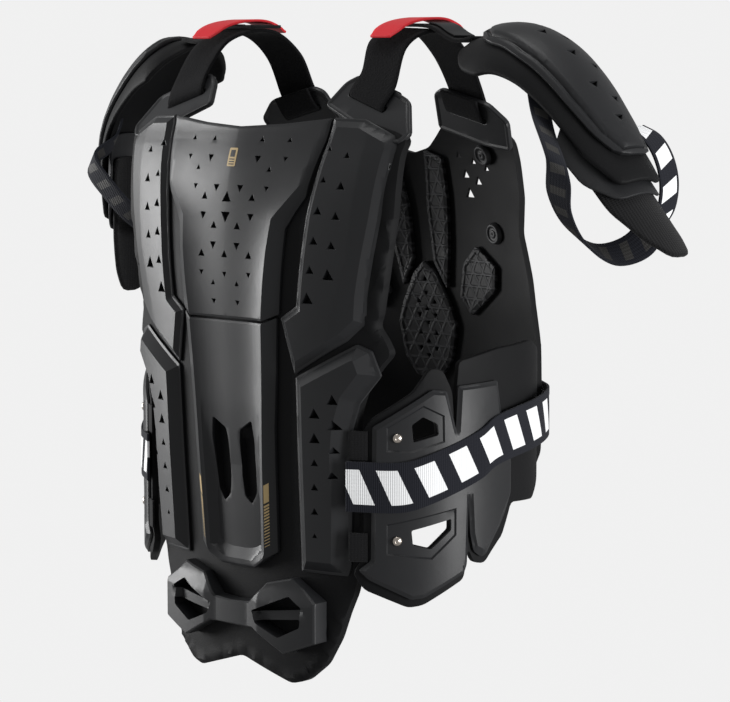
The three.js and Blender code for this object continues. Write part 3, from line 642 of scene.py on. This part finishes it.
# Back foam
liner_half = [(0, 14.6), (25, 13.9), (47, 13.3), (66, 13.2), (82.5, 14.6), (86, 15.6), (84.5, 17.6),
              (83.5, 26.2), (79, 35.3), (75.3, 41.4), (73.6, 42.6), (77, 44.6), (79.5, 46.8), (75, 48.6),
              (68, 52), (64, 56), (63.5, 66), (63, 78), (60, 83), (56.5, 86), (52.5, 90.2), (46, 94.4),
              (36.5, 97.2), (29, 97.9), (15, 96.4), (0, 94.8)]
liner_outline = both(shares(liner_half))


# Windows in the valley of the lower spine plate, with a hollow in the foam behind them
channel_slot = shares([(4.4, 59.6), (12.2, 58.0), (13.4, 61), (12, 69.2), (8.6, 71), (4.6, 69.8),
                       (3.6, 67), (3.6, 61.5)])


def liner_rise(x, z, d):
    """A rib along the upper sides and the foot, and a hollow behind each window"""
    upper = smooth(abs(x), 120, 135) * smooth(-z, 92, 105) * (1 - smooth(-z, 262, 276))
    rib = smooth(d, 1, 3) * (1 - smooth(d, 5, 7)) * max(upper, smooth(-z, 512, 524))
    hollow = clamp((edge_distance(channel_slot, abs(x), z) + 1.5) / 1.5)
    return 1.8 * rib - 1.2 * (1 - smooth(d, 0, 3)) - 6.5 * hollow


channel_lines = [line for s in (1, -1)
                 for line in inner_lines(sided(channel_slot, s), (-1.5, 0.01))]
piece = formed(liner_outline, back_at, -liner_wall, liner_wall, rise=liner_rise, edge=2.4, corner=4,
               step=6, edge_steps=3, angle=45, lines=channel_lines)
kept(piece, "back_liner", soft_foam)

# Spine plates, with a ridge down each side
ridge_line = [(12.5, 47), (22.3, 40.5), (27.3, 27.8), (42.5, 22.7), (58.8, 20.5), (78, 18.5), (84, 12)]
ridge_foot = 7
# Half the valley's width at each height
channel_half = [(318, 37), (353, 37), (468, 33), (478, 17), (484, 2)]


def ridge_x(z):
    return torso_half * along(ridge_line, -100 * z / torso_length) / 100


def spine_rise(x, z, d):
    """Rises to the ridge and falls to its foot, with a valley in the lower plate that deepens downwards"""
    ridge = ridge_x(z)
    share = abs(x) / ridge
    share = 0.10 + 0.90 * share ** 3.2 if share < 1 else 1 - (abs(x) - ridge) / (share_x * ridge_foot)
    half = along(channel_half, -z)
    channel = 6 * min(clamp((half - abs(x)) / 8), smooth(-z, 325, 440), clamp((478 + z) / 17))
    lift = 6.4 * clamp(share) * clamp((-z / torso_length - 0.12) / 0.2, 0.1, 1)
    return lift - channel - 0.8 * (1 - smooth(d, 0, 2.2))


ridge_lines = []
for a, b in zip(ridge_line, ridge_line[1:]):
    for side in (1, -1):
        for foot in (0, ridge_foot):
            ridge_lines.append(tuple((side * (share_x * x + share_x * foot), share_z * z)
                                     for z, x in (a, b)))

valley_lines = [((-9, -461), (9, -461)), ((-9, -478), (9, -478))]
for a, b in zip(channel_half, channel_half[1:]):
    for side in (1, -1):
        for narrower in (0, 8):
            valley_lines.append(((side * (a[1] - narrower), -a[0]), (side * (b[1] - narrower), -b[0])))

upper_half = [(0, 13.9), (25, 13.4), (49.2, 12.5), (48.3, 15.8), (42.8, 24), (38, 26.2), (33.5, 28.7),
              (30, 41.5), (22.7, 42.6), (0, 42.6)]
upper_vents = [(30, 15.7, small, 1), (15, 15.7, small, 1), (30, 18.6, small, -1), (14.8, 18.7, medium, -1),
               (22.4, 20.1, small, 1), (22.4, 23, small, -1), (7.5, 23.1, medium, -1),
               (15, 24.3, medium, 1), (0, 24.3, large, 1), (15, 27.3, medium, -1), (0, 27.4, large, -1),
               (7.4, 28.6, medium, 1), (7.5, 31.7, medium, -1), (14.9, 32.9, medium, 1),
               (0, 32.9, medium, 1), (14.9, 35.9, small, -1), (0, 36, small, -1), (7.5, 37.3, small, 1),
               (7.5, 40.2, small, -1)]


def vent_rows(rows, side=0):
    """Vents in shares, on one side or on both"""
    if side:
        return [(side * share_x * x, share_z * z, width, turn) for x, z, width, turn in rows]
    return [(s * share_x * x, share_z * z, width, turn) for x, z, width, turn in rows
            for s in ((1,) if x == 0 else (1, -1))]


piece = formed(both(shares(upper_half)), back_at, gap, shell_wall, rise=spine_rise, rings=(2.2,),
               corner=1.2, step=5, holes=vent_pegs(vent_rows(upper_vents)), lines=ridge_lines[:16],
               edge=0.7)
kept(piece, "spine_plate_upper", matte_shell)

lower_half = [(0, 42.9), (22.8, 42.9), (29, 42), (27.5, 49), (25.5, 58.8), (24, 77.8), (10.5, 80.7),
              (0, 80.8)]
slots = [block(sided(channel_slot, s), -30, 40, 2) for s in (1, -1)]
piece = formed(both(shares(lower_half)), back_at, gap, shell_wall, rise=spine_rise, rings=(2.2,),
               corner=1.2, step=4, holes=slots, lines=ridge_lines[12:] + valley_lines, edge=0.7)
kept(piece, "spine_plate_lower", matte_shell)

# A plain tag at the top of the spine, and a bar with thinning ticks on each ridge
def on_spine(x, z, t):
    return back_at(x, z, gap + shell_wall + spine_rise(x, z, 99) + t)


def marked(name, outline, holes=()):
    piece = formed(outline, on_spine, -0.3, 0.5, edge=0, corner=0, step=2, holes=holes)
    kept(piece, name, tan_mark, stands_for=False)


# Middle of each opening in the tag, and half its width and height
tag_openings = [(-107.5, 3, 3.1), (-112.6, 3.4, 0.5), (-114.8, 3.4, 0.5), (-117, 3.4, 0.5)]
tag_outline = [(-4.2, -102.5), (4.2, -102.5), (5, -103.3), (5, -118.2), (4.2, -119), (-4.2, -119),
               (-5, -118.2), (-5, -103.3)]
marked("spine_tag", tag_outline, [block([(-w, z - h), (w, z - h), (w, z + h), (-w, z + h)], -5, 5)
                                  for z, w, h in tag_openings])
tick_count, tick_pitch, tick_height, tick_slant = 14, 2.9, 1.9, 1.8
marks = [(-404, -421)] + [(-423 - k * tick_pitch, -423 - k * tick_pitch - tick_height + 0.1 * k)
                          for k in range(tick_count)]
for name, side in SIDES:
    for k, (top, foot) in enumerate(marks):
        corners = ((0.8, top), (5.2, top), (5.2, foot), (0.8, foot))
        marked(f"ridge_mark_{k + 1}_{name}",
               [(side * (ridge_x(z) + a), z + tick_slant * (a - 3) / 3) for a, z in corners])

# Wings and kidney plates
wing_half = [(50.2, 12.4), (66, 12.6), (80.5, 14.9), (82.5, 16.5), (78, 27.2), (71.5, 38.3), (70, 42.4),
             (62, 45), (36.5, 50.4), (30.6, 42), (39, 40.1), (43.6, 26.5), (49, 16.2)]
wing_vents = [(62, 17.8, small, 1), (61, 22.2, medium, 1), (59.5, 26.6, medium, 1),
              (57.8, 30.9, medium, 1), (56.2, 35.2, large, 1), (52.5, 16.8, small, 1),
              (52.3, 21.4, small, 1), (50.8, 25.9, medium, 1), (49.4, 30.3, medium, 1),
              (47.8, 34.6, medium, 1), (46.2, 38.8, large, 1)]
kidney_half = [(37, 50.8), (66.5, 45.4), (72.5, 46.3), (76, 50), (66.5, 54.2), (63, 58), (61.6, 62),
               (61.4, 70.5), (60, 78.7), (58.5, 80.4), (36, 80.3)]
kidney_vents = [(57.6, 53.6, large, 1), (57.4, 57.4, large, 1), (56.8, 61.2, medium, 1),
                (56, 65, medium, 1), (49, 55.8, large, 1), (48.7, 59.5, large, 1), (48.3, 63.2, medium, 1),
                (47.8, 66.9, medium, 1), (47.3, 70.6, medium, 1), (46.8, 74.3, small, 1)]
wing_crease = [(69.5, 17.2), (65, 32.7), (60.5, 37.3)]


def wing_rise(x, z, d):
    """The outer third folds away from a crease that runs down the wing"""
    face = 4.2 * clamp((d - 2.6) / 5)
    fold = along([(17, 139), (32.7, 130), (37.3, 121), (46, 108)], z / share_z)
    return face - 0.10 * max(0, abs(x) - fold) - 0.8 * (1 - smooth(d, 0, 2))


def kidney_rise(x, z, d):
    return 9 * clamp((d - 2.6) / 9.5) - 0.8 * (1 - smooth(d, 0, 2))


for name, side in SIDES:
    wing = sided(shares(wing_half), side)
    crease = [(side * share_x * x, share_z * z) for x, z in wing_crease]
    piece = formed(wing, back_at, gap, shell_wall, rise=wing_rise, rings=(2.6, 7.6), corner=1.2, step=4,
                   edge=0.7, holes=vent_pegs(vent_rows(wing_vents, side)),
                   lines=list(zip(crease, crease[1:])))
    kept(piece, f"back_wing_{name}", matte_shell)
    kidney = sided(shares(kidney_half), side)
    piece = formed(kidney, back_at, gap, shell_wall, rise=kidney_rise, rings=(2.6, 12.1), corner=1.2,
                   step=4, edge=0.7, holes=vent_pegs(vent_rows(kidney_vents, side)))
    kept(piece, f"kidney_plate_{name}", matte_shell)

# Tail plate: two lobes on a raised block, each with a window and a bar across it
tail_half = [(0, 85.8), (11, 85.6), (20, 82.4), (33.8, 81.3), (47.5, 84.6), (47.5, 90.7), (31.2, 92.8),
             (13.4, 89.6), (0, 89.6)]
tail_window = shares([(33.5, 84), (40.8, 85.4), (39.9, 88.5), (28.6, 90.4), (15.6, 88.6), (13.1, 86.9)])
tail_bar = [(11, 87.1), (43, 85.7), (43, 87.3), (11, 88.5)]


def tail_rise(x, z, d):
    """A block with a waist between the lobes, sunk where the bars cross the windows"""
    stand = 14 * clamp((-z / torso_length - 0.8) / 0.05, 0.6, 1)
    waist = 1 - clamp((abs(x) - 20) / 14)
    within = edge_distance(tail_window, abs(x), z)
    return stand - 1.5 * (1 - clamp(d / 1.5)) - 3 * waist - 7 * clamp((within - 0.5) / 3)


windows = []
for s in (1, -1):
    window = block(sided(tail_window, s), -30, 40, 1.5)
    cut(window, [block(sided(shares(tail_bar), s), -40, 50)])
    windows.append(window)
waist_lines = [((s * x, 0), (s * x, 9)) for s in (1, -1) for x in (20, 34)]
piece = formed(both(shares(tail_half)), back_at, gap, shell_wall, rise=tail_rise, rings=(1.5,), corner=0,
               step=4, holes=windows, edge=0.6, lines=waist_lines)
kept(piece, "tail_plate", matte_shell)

# Front foam and the plates outside it
chest_half = [(0, 19), (12, 18), (24, 15.2), (31, 13.6), (46, 13.6), (64, 14), (73.5, 16.2), (74, 25.3),
              (70.5, 31), (76, 38), (80, 48), (80.5, 56), (80, 65), (68, 71), (44, 74.5), (0, 75)]
chest_vents = [(32.2, 18.9, medium, 1), (42, 19.8, medium, 1), (51, 20.8, medium, 1), (35, 21.9, 9.5, 1),
               (43.5, 22.9, 9.5, 1), (36, 24.9, 11.5, 1)]
thin_field = shares([(29.5, 17.2), (56, 18.6), (53, 23.5), (45, 26.2), (32.5, 27.6), (29.5, 24)])


def chest_foam_rise(x, z, d):
    """The foam is thin where the vents pass through it"""
    return -5 * clamp(edge_distance(thin_field, abs(x), z) / 2)


thin_lines = [line for s in (1, -1) for line in inner_lines(sided(thin_field, s), (0.01, 2))]
piece = formed(both(shares(chest_half)), chest_at, 0, chest_wall, rise=chest_foam_rise, edge=2.2, corner=4,
               step=7, edge_steps=3, holes=vent_pegs(vent_rows(chest_vents)), angle=45, lines=thin_lines)
kept(piece, "chest_liner", soft_foam)

sternum_half = [(0, 20), (12, 19.2), (26, 16.6), (29.5, 18.5), (27.5, 36), (19, 43), (0, 45)]
belly_half = [(0, 45.4), (19.4, 43.4), (28, 46), (33, 56), (30, 69), (15, 73), (0, 73.5)]
breast_half = [(56, 17.5), (70, 17.5), (71, 26), (68.5, 31.5), (74.5, 38.5), (78, 47), (36, 47.5),
               (28.5, 42.5), (30.2, 27.5), (44, 26.4)]
rib_half = [(36, 48.5), (78.6, 48), (79, 63), (62, 69), (34, 70), (36.6, 56)]


def chest_rise(x, z, d):
    return 8 * clamp((d - 2.8) / 11.2) - 0.8 * (1 - smooth(d, 0, 2))


front = [("sternum_plate", both(shares(sternum_half))), ("belly_plate", both(shares(belly_half)))]
front += [(f"{node}_{name}", sided(shares(half), side)) for name, side in SIDES
          for node, half in (("breast_plate", breast_half), ("rib_plate", rib_half))]
for node, outline in front:
    piece = formed(outline, chest_at, chest_wall + gap, shell_wall, rise=chest_rise, rings=(2.8, 14),
                   step=8, edge=0.7)
    kept(piece, node, matte_shell)

# Textured pads inside the chest
centre_half = [(0, 36.5), (7, 38.5), (15, 43.5), (18.5, 47), (15, 52.5), (8, 55.5), (0, 56)]
strip_half = [(10, 18.4), (21.5, 19.5), (21, 26), (17.5, 34.5), (14, 41), (6.5, 36.6), (6, 28)]
side_pad_half = [(37.5, 33.5), (27, 36.5), (22.5, 42), (30, 45), (49.5, 40.5), (51.5, 36.7)]
centre_places = [(0, 39.5), (0, 42), (0, 44.4), (0, 46.9), (0, 49.8), (0, 52.3), (5, 43.2), (5, 45.6),
                 (5, 48.4), (5, 51.1)]
centre_vents = [(x, z, small, -1 if i % 2 else 1) for i, (x, z) in enumerate(centre_places)]


def inwards(x, z, t):
    return chest_at(x, z, -gap - t)


def pad_rise(x, z, d):
    return 0.9 * smooth(d, 1, 4) - 0.9 * smooth(d, 4.5, 6)


pads = [("centre_pad", both(shares(centre_half)), vent_pegs(vent_rows(centre_vents)))]
pads += [(f"{kind}_{name}", sided(shares(half), side), [])
         for kind, half in (("strip_pad", strip_half), ("side_pad", side_pad_half))
         for name, side in SIDES]
for node, outline, holes in pads:
    piece = formed(outline, inwards, 0, 5, rise=pad_rise, rings=(4.2, 6), holes=holes, edge=1.2, corner=2,
                   step=6, edge_steps=3)
    kept(piece, node, textured_rubber)

# Press studs: a dished disc with a raised boss and a small dip in its middle
for name, side in SIDES:
    for place, x, z, lift in (("upper", 52.5, 18.6, 1), ("lower", 52, 31.2, 0.35)):
        centre = chest_at(side * share_x * x, share_z * z, 0)
        lean = chest_at(side * share_x * (x + 2), share_z * z, 0) - centre
        rise = chest_at(side * share_x * x, share_z * (z - 1), 0) - centre
        axis = rise.cross(lean).normalized()
        if axis.dot(chest_at(side * share_x * x, share_z * z, -1) - centre) < 0:
            axis.negate()
        bpy.ops.object.select_all(action="DESELECT")
        bpy.ops.mesh.primitive_cylinder_add(vertices=40, radius=11, depth=4, end_fill_type="NGON")
        piece = bpy.context.object
        faces_where(piece, lambda c, n: n.z > 0.9)
        bpy.ops.transform.resize(value=(0.82, 0.82, 1))
        for width, depth in ((1.6, 0), (1.2, -1.4), (2.2, 0), (0.6, 1.0), (2.2, 0.0)):
            bpy.ops.mesh.inset(thickness=width)
            if depth:
                bpy.ops.transform.translate(value=(0, 0, depth))
        bpy.ops.mesh.inset(thickness=0.5)
        bpy.ops.transform.translate(value=(0, 0, -0.8))
        leave()
        modify(piece, "BEVEL", width=0.35, segments=2, limit_method="ANGLE", angle_limit=math.radians(30))
        turn = axis.to_track_quat("Z", "Y").to_matrix().to_4x4()
        piece.data.transform(Matrix.Diagonal((0.001, 0.001, 0.001, 1)) @ Matrix.Translation(
            centre + axis * (2 + lift * 2.4)) @ turn)
        shaded(piece)
        kept(piece, f"press_stud_{place}_{name}", grey_rubber)

# Shoulder straps, doubled back round the upper bar of each slot
bar_turn = [(8, -1.8), (2.6, -1.75), (0.2, -1.2), (-0.3, 0), (0.2, 1.2), (2.6, 1.75), (7, 1.8)]


def round_bar(plan):
    """The strap's way round the bar above an anchor's slot"""
    _, centre, u, v = plan
    v = v.normalized()
    out = u.cross(v).normalized()
    if out.z < 0:
        out.negate()
    return [centre + v * rise * strap_wall + out * off * strap_wall for rise, off in bar_turn]


strap_top = [(-46, -12), (-16, 0), (18, -1), (48, -22)]
over_shoulder = [Vector((lerp(back_slot.x, chest_slot.x, (i + 1) / 5), y, z + strap_wall / 2))
                 for i, (y, z) in enumerate(strap_top)]
strap_points = round_bar(anchor_plans["back"]) + over_shoulder + round_bar(anchor_plans["chest"])[::-1]
level = Vector((1, 0, -0.04))


def strap_sideways(s):
    if s < 0.5:
        return back_slot_along.lerp(level, smooth(s, 0.15, 0.42))
    return level.lerp(chest_slot_along, smooth(s, 0.6, 0.85))


tab_top = [(-58, -5), (-40, 5), (-14, 10.6), (18, 10.8), (46, 1)]
tab_points = [Vector((113, y, z + strap_wall / 2)) for y, z in tab_top]
link_line = [(87, 7.4), (117, 7), (137, 4.6), (151, -2.6), (165, -7.2), (183, -4.3)]
link_points = [Vector((x, cap_forward, z)) for x, z in link_line]
for name, side in SIDES:
    piece = band(strap_points, strap_sideways, strap_width, strap_wall, 90, side=side, across=10)
    kept(piece, f"shoulder_strap_{name}", loop_webbing)
    piece = band(link_points, lambda s: Vector((0, 1, 0)), 40, strap_wall, 40, side=side)
    kept(piece, f"cap_link_{name}", black_webbing)
    piece = band(tab_points, lambda s: Vector((1, 0, 0)), 30, 2.4, 40, side=side,
                 taper=lambda s: 0.78 + 0.22 * smooth(s, 0, 0.12) * smooth(1 - s, 0, 0.12))
    kept(piece, f"strap_tab_{name}", red_tab)
    piece = band(link_points, lambda s: Vector((0, 1, 0)), 28, 2, 16, side=side, lift=-2.85, start=0.42,
                 end=0.42 + 34 / 104)
    kept(piece, f"cap_buckle_{name}", grey_rubber)

# Shoulder caps, laid out flat with their crest down the middle
# Degrees by which the crest heads upwards at each share of the cap's length
cap_bend = {"right": [(0, 22), (0.16, 8), (0.3, -22), (0.45, -42), (0.62, -52), (0.85, -52), (1, -50),
                      (1.4, -48)], "left": [(0, 22), (0.08, 2), (0.18, -28), (0.3, -44), (0.45, -52),
                                            (0.57, -66), (0.68, -82), (0.8, -90), (1.4, -92)]}
crests = {}


def crest_of(name, share):
    key = (name, round(share, 4))
    if key not in crests:
        x, z = cap_start, cap_lift
        for i in range(24):
            heading = math.radians(along(cap_bend[name], share * (i + 0.5) / 24))
            x += math.cos(heading) * cap_length * share / 24
            z += math.sin(heading) * cap_length * share / 24
        crests[key] = (x, z)
    return crests[key]


def cap_at(name, back=1.0):
    def placed(across, fall, t):
        q, s = across / cap_half, -fall / cap_length
        if q < 0:
            q *= back
        x, z = crest_of(name, s)
        heading = math.radians(along(cap_bend[name], s))
        out = (-math.sin(heading), math.cos(heading))
        turn = q * 1.15
        reach = cap_half + t
        lift = t + (math.cos(turn) - 1) * cap_sag / cap_half * 1.45 * reach
        return Vector((x + out[0] * lift, cap_forward + math.sin(turn) / 1.15 * reach * 1.2,
                       z + out[1] * lift))
    return placed


def cap_outline(widths):
    right = [(cap_half * w, -cap_length * s) for s, w in widths]
    return right + [(-x, z) for x, z in reversed(right)]


pad_widths = [(0.02, 0.5), (0.07, 0.85), (0.16, 1), (0.35, 0.9), (0.6, 0.76), (0.8, 0.66), (0.95, 0.45)]
shell_widths = [(0.12, 0.34), (0.18, 0.56), (0.35, 0.62), (0.6, 0.54), (0.76, 0.44), (0.86, 0.28)]
flap_widths = [(0.6, 0.4), (0.72, 0.82), (0.88, 0.74), (0.99, 0.45)]
bicep_widths = [(0.7, 0.45), (0.8, 0.72), (1, 0.66), (1.15, 0.45), (1.24, 0.2)]
cap_vents = [(0.26, 0.1), (0.32, -0.1), (0.36, 0.16), (0.44, -0.04), (0.5, 0.18), (0.58, -0.08),
             (0.64, 0.14), (0.72, 0)]
arm_route = {
    "right": [(312, -56, -116), (306, -46, -144), (310, -28, -172), (322, 0, -190), (338, 24, -182),
              (346, 36, -160)],
    "left": [(268, -58, -124), (250, -52, -152), (238, -34, -176), (236, -6, -190), (244, 22, -186),
             (262, 38, -168)]}


def shell_rise(x, z, d):
    """A stitched groove inside the rim, then a raised face"""
    groove = smooth(d, 3.6, 4.6) * (1 - smooth(d, 5.6, 6.6))
    return -1.4 * (1 - smooth(d, 0, 3)) - 1.9 * groove + 1.8 * smooth(d, 6.4, 9)


for name, side in SIDES:
    place = lambda back=1.0: mirrored(cap_at(name, back), side)
    piece = formed(cap_outline(pad_widths), place(), 0, 6, edge=2.4, corner=6, step=7, edge_steps=3,
                   angle=60, rise=lambda x, z, d: 1.2 * smooth(d, 2, 9))
    kept(piece, f"cap_pad_{name}", soft_foam)
    vents = vent_pegs([(q * cap_half, -s * cap_length, 7, -1) for s, q in cap_vents])
    piece = formed(cap_outline(shell_widths), place(), 7.5, 5, edge=1.2, corner=8, step=5, edge_steps=2,
                   holes=vents, rise=shell_rise, rings=(3.6, 4.6, 5.6, 6.6, 9), angle=40)
    kept(piece, f"cap_shell_{name}", matte_shell)
    piece = formed(cap_outline(flap_widths), place(1.15), -4.5, 3, edge=1, corner=6, step=7)
    kept(piece, f"cap_flap_{name}", grey_rubber)
    piece = formed(cap_outline(bicep_widths), place(1.1), -11, 5, edge=2.2, corner=6, step=7, edge_steps=3,
                   angle=60)
    kept(piece, f"bicep_pad_{name}", black_fabric)
    under = -2.2 - 3 * gap
    cap = cap_at(name)
    head = [cap(cap_half * q, -cap_length * s, under) for q, s in ((-0.66, 0.48), (-0.86, 0.6))]
    tail = [cap(cap_half * q, -cap_length * s, -11 + under) for q, s in ((0.5, 1), (0.3, 0.88))]
    route = head + [Vector(p) for p in arm_route[name]] + tail
    piece = band(route, lambda s: Vector((0.7, 0.3, -0.65)), 28, 2.2, 70, side=side, start=0.04, end=0.96)
    kept(piece, f"arm_strap_{name}", arm_elastic)

# Elastic that comes over each cap's front edge
loop_routes = {
    "right": [(316, 46, -82), (330, 51, -90), (341, 54, -106), (348, 54, -130), (349, 47, -154),
              (343, 36, -172)],
    "left": [(258, 46, -92), (270, 51, -102), (278, 54, -120), (280, 53, -142), (276, 46, -164),
             (267, 36, -178)]}
for name, side in SIDES:
    piece = band([Vector(p) for p in loop_routes[name]], lambda s: Vector((0.1, 1, 0.1)), 24, 2.2, 40,
                 side=side)
    kept(piece, f"cap_loop_{name}", loop_elastic, stands_for=False)

# Side guards on the flanks
guard_half = [(-46.4, 57.6), (-26.8, 52.2), (-21.6, 52.4), (-18.2, 58.2), (-17.4, 51.8), (-2, 51.5),
              (-0.6, 56), (3.1, 64.2), (3.1, 68.8), (-0.8, 73.6), (-6.3, 77.6), (-8.3, 77.8),
              (-11.2, 76.8), (-12.6, 74), (-13.2, 69), (-13.8, 78.6), (-14.9, 79.9), (-29.5, 83.2),
              (-33.8, 83.4), (-47.5, 80.4), (-50.7, 79), (-46.8, 77.5)]
guard_pad_half = [(-49.6, 58.6), (-46.5, 56.4), (-33, 52.6), (-27, 49), (-22.5, 49.4), (-19, 52.6),
                  (-18.3, 56.5), (-16.6, 48.2), (-0.6, 46.8), (18, 46.4), (34.5, 49), (35.6, 58),
                  (33.5, 68), (20, 71), (4.6, 70.5), (0.4, 75.5), (-6, 79), (-10.5, 78.6), (-12.6, 76.5),
                  (-14.4, 80.9), (-29.5, 84.4), (-34.5, 84.7), (-49, 82), (-52.5, 79.6), (-49, 77)]
upper_window = [(-33.8, 57.3), (-30, 56.1), (-25, 57.2), (-24.6, 58.9), (-33.3, 59.9)]
lower_window = [(-33.8, 73), (-22.5, 71.8), (-20, 71.5), (-20, 73.2), (-27.2, 75.9), (-33.3, 75.2)]
pockets = [round_flank(rows) for rows in (
    [(-42, 57.6), (-30, 54.4), (-22.8, 56), (-22.6, 60), (-34, 61.4), (-42, 61.2)],
    [(-42, 72), (-22, 70.2), (-18.4, 70), (-18.4, 74), (-27, 77.4), (-42, 76.6)])]
pocket_lines = [line for outline in pockets for line in inner_lines(outline, (0, 1.5))]


def guard_rise(x, z, d):
    """A raised face, with a pocket round each window and rivet"""
    pocket = max(edge_distance(outline, x, z) for outline in pockets)
    return 1.6 * clamp((d - 2) / 2) * (1 - clamp(pocket / 1.5)) - 0.9 * (1 - smooth(d, 0, 2))


for name, side in SIDES:
    holes = lambda: [block(round_flank(window), -30, 40, 1.5) for window in (upper_window, lower_window)]
    piece = formed(round_flank(guard_pad_half), mirrored(flank_at, side), -6.7, 6, holes=holes(), edge=2,
                   corner=4, step=8, edge_steps=3, angle=60)
    kept(piece, f"guard_pad_{name}", soft_foam)
    piece = formed(round_flank(guard_half), mirrored(flank_at, side), 0, 3, rise=guard_rise, holes=holes(),
                   rings=(2, 4), edge=0.7, corner=2, step=8, lines=pocket_lines)
    kept(piece, f"side_guard_{name}", matte_shell)
    for place, angle, fall in (("upper", -38.5, 59.2), ("lower", -38.5, 74.5)):
        foot = flank_at(angle * flank_scale, share_z * fall, shell_wall + gap / 2)
        axis = (flank_at(angle * flank_scale, share_z * fall, shell_wall + 1) - foot).normalized()
        bpy.ops.object.select_all(action="DESELECT")
        bpy.ops.mesh.primitive_cylinder_add(vertices=32, radius=4.2, depth=1.4, location=(0, 0, 0.7))
        bpy.ops.object.transform_apply(location=True, rotation=False, scale=False)
        piece = bpy.context.object
        faces_where(piece, lambda c, n: n.z > 0.9)
        for width, lift in ((0.9, 0.8), (1.0, 0.5), (0.5, -0.5), (0.4, 0.3)):
            bpy.ops.mesh.inset(thickness=width)
            bpy.ops.transform.translate(value=(0, 0, lift))
        leave()
        modify(piece, "BEVEL", width=0.3, segments=2, limit_method="ANGLE", angle_limit=math.radians(30))
        piece.data.transform(Matrix.Diagonal((0.001 * side, 0.001, 0.001, 1)) @ Matrix.Translation(foot)
                             @ axis.to_track_quat("Z", "Y").to_matrix().to_4x4())
        outwards(piece)
        shaded(piece)
        kept(piece, f"rivet_{place}_{name}", rivet_steel)

# Elastic straps round the flanks and the tabs behind the guards
strap_line = [(-54.5, 66.4, 0), (-36.3, 66.4, 0), (-27.6, 65.3, 0), (-9.3, 62.1, 0), (-4.2, 60.6, 0),
              (14, 58.9, 1), (26, 58.4, 2), (38, 58.2, 4), (50, 58.2, 6), (57, 58.2, 9)]
elastic_width, elastic_wall = 45, 2.4
strap_seat = shell_wall + elastic_wall / 2 + 5 * gap
for name, side in SIDES:
    points = [flank_at(angle * flank_scale, share_z * z, strap_seat + t) for angle, z, t in strap_line]
    piece = band(points, lambda s: Vector((0, 0, 1)), elastic_width, elastic_wall, 70, side=side)
    kept(piece, f"side_strap_{name}", printed_elastic)
    for place, fall in (("upper", 60.4), ("lower", 75.6)):
        points = [flank_at(angle * flank_scale, share_z * fall, t + 1)
                  for angle, t in ((-53.6, 0), (-50, -0.2), (-47.8, -0.4))]
        piece = band(points, lambda s: Vector((0, 0, 1)), 26, 2, 10, side=side)
        kept(piece, f"guard_tab_{place}_{name}", black_webbing)

# Lights, a plain pale background and the camera
def lamp(name, place, target, size, power, height=None):
    bpy.ops.object.light_add(type="AREA", location=place)
    light = bpy.context.object
    light.name = name
    light.data.shape = "RECTANGLE"
    light.data.size, light.data.size_y = size, height or size
    light.data.energy = power
    light.rotation_euler = (Vector(target) - Vector(place)).to_track_quat("-Z", "Y").to_euler()


lamp("key", (-2.3, -1.05, -0.05), (0, 0, -0.35), 0.7, 71, 1.5)
lamp("top", (0.1, -0.2, 1.9), (0, 0, -0.3), 1.1, 16)
lamp("side", (2.4, 0.35, -0.35), (0, 0, -0.4), 0.7, 52, 1.2)
bpy.context.scene.view_settings.view_transform = "Standard"
world = bpy.data.worlds.new("studio")
bpy.context.scene.world = world
world.use_nodes = True
ambient = world.node_tree.nodes["Background"]
seen = world.node_tree.nodes.new("ShaderNodeBackground")
for background, strength in ((ambient, 0.42), (seen, 1)):
    background.inputs[0].default_value = (0.875, 0.875, 0.875, 1)
    background.inputs[1].default_value = strength
mixed = world.node_tree.nodes.new("ShaderNodeMixShader")
ray = world.node_tree.nodes.new("ShaderNodeLightPath")
for socket, hole in ((ray.outputs["Is Camera Ray"], 0), (ambient.outputs[0], 1), (seen.outputs[0], 2)):
    world.node_tree.links.new(socket, mixed.inputs[hole])
world.node_tree.links.new(mixed.outputs[0], world.node_tree.nodes["World Output"].inputs[0])

turn, tilt = math.radians(42), math.radians(6.402879)
bpy.ops.object.camera_add(location=(1.67793, -1.81588, -0.01988))
camera = bpy.context.object
ahead = Vector((-math.sin(turn) * math.cos(tilt), math.cos(turn) * math.cos(tilt), -math.sin(tilt)))
camera.rotation_euler = ahead.to_track_quat("-Z", "Y").to_euler()
camera.data.sensor_width = 36
camera.data.lens = 129.94
bpy.context.scene.camera = camera
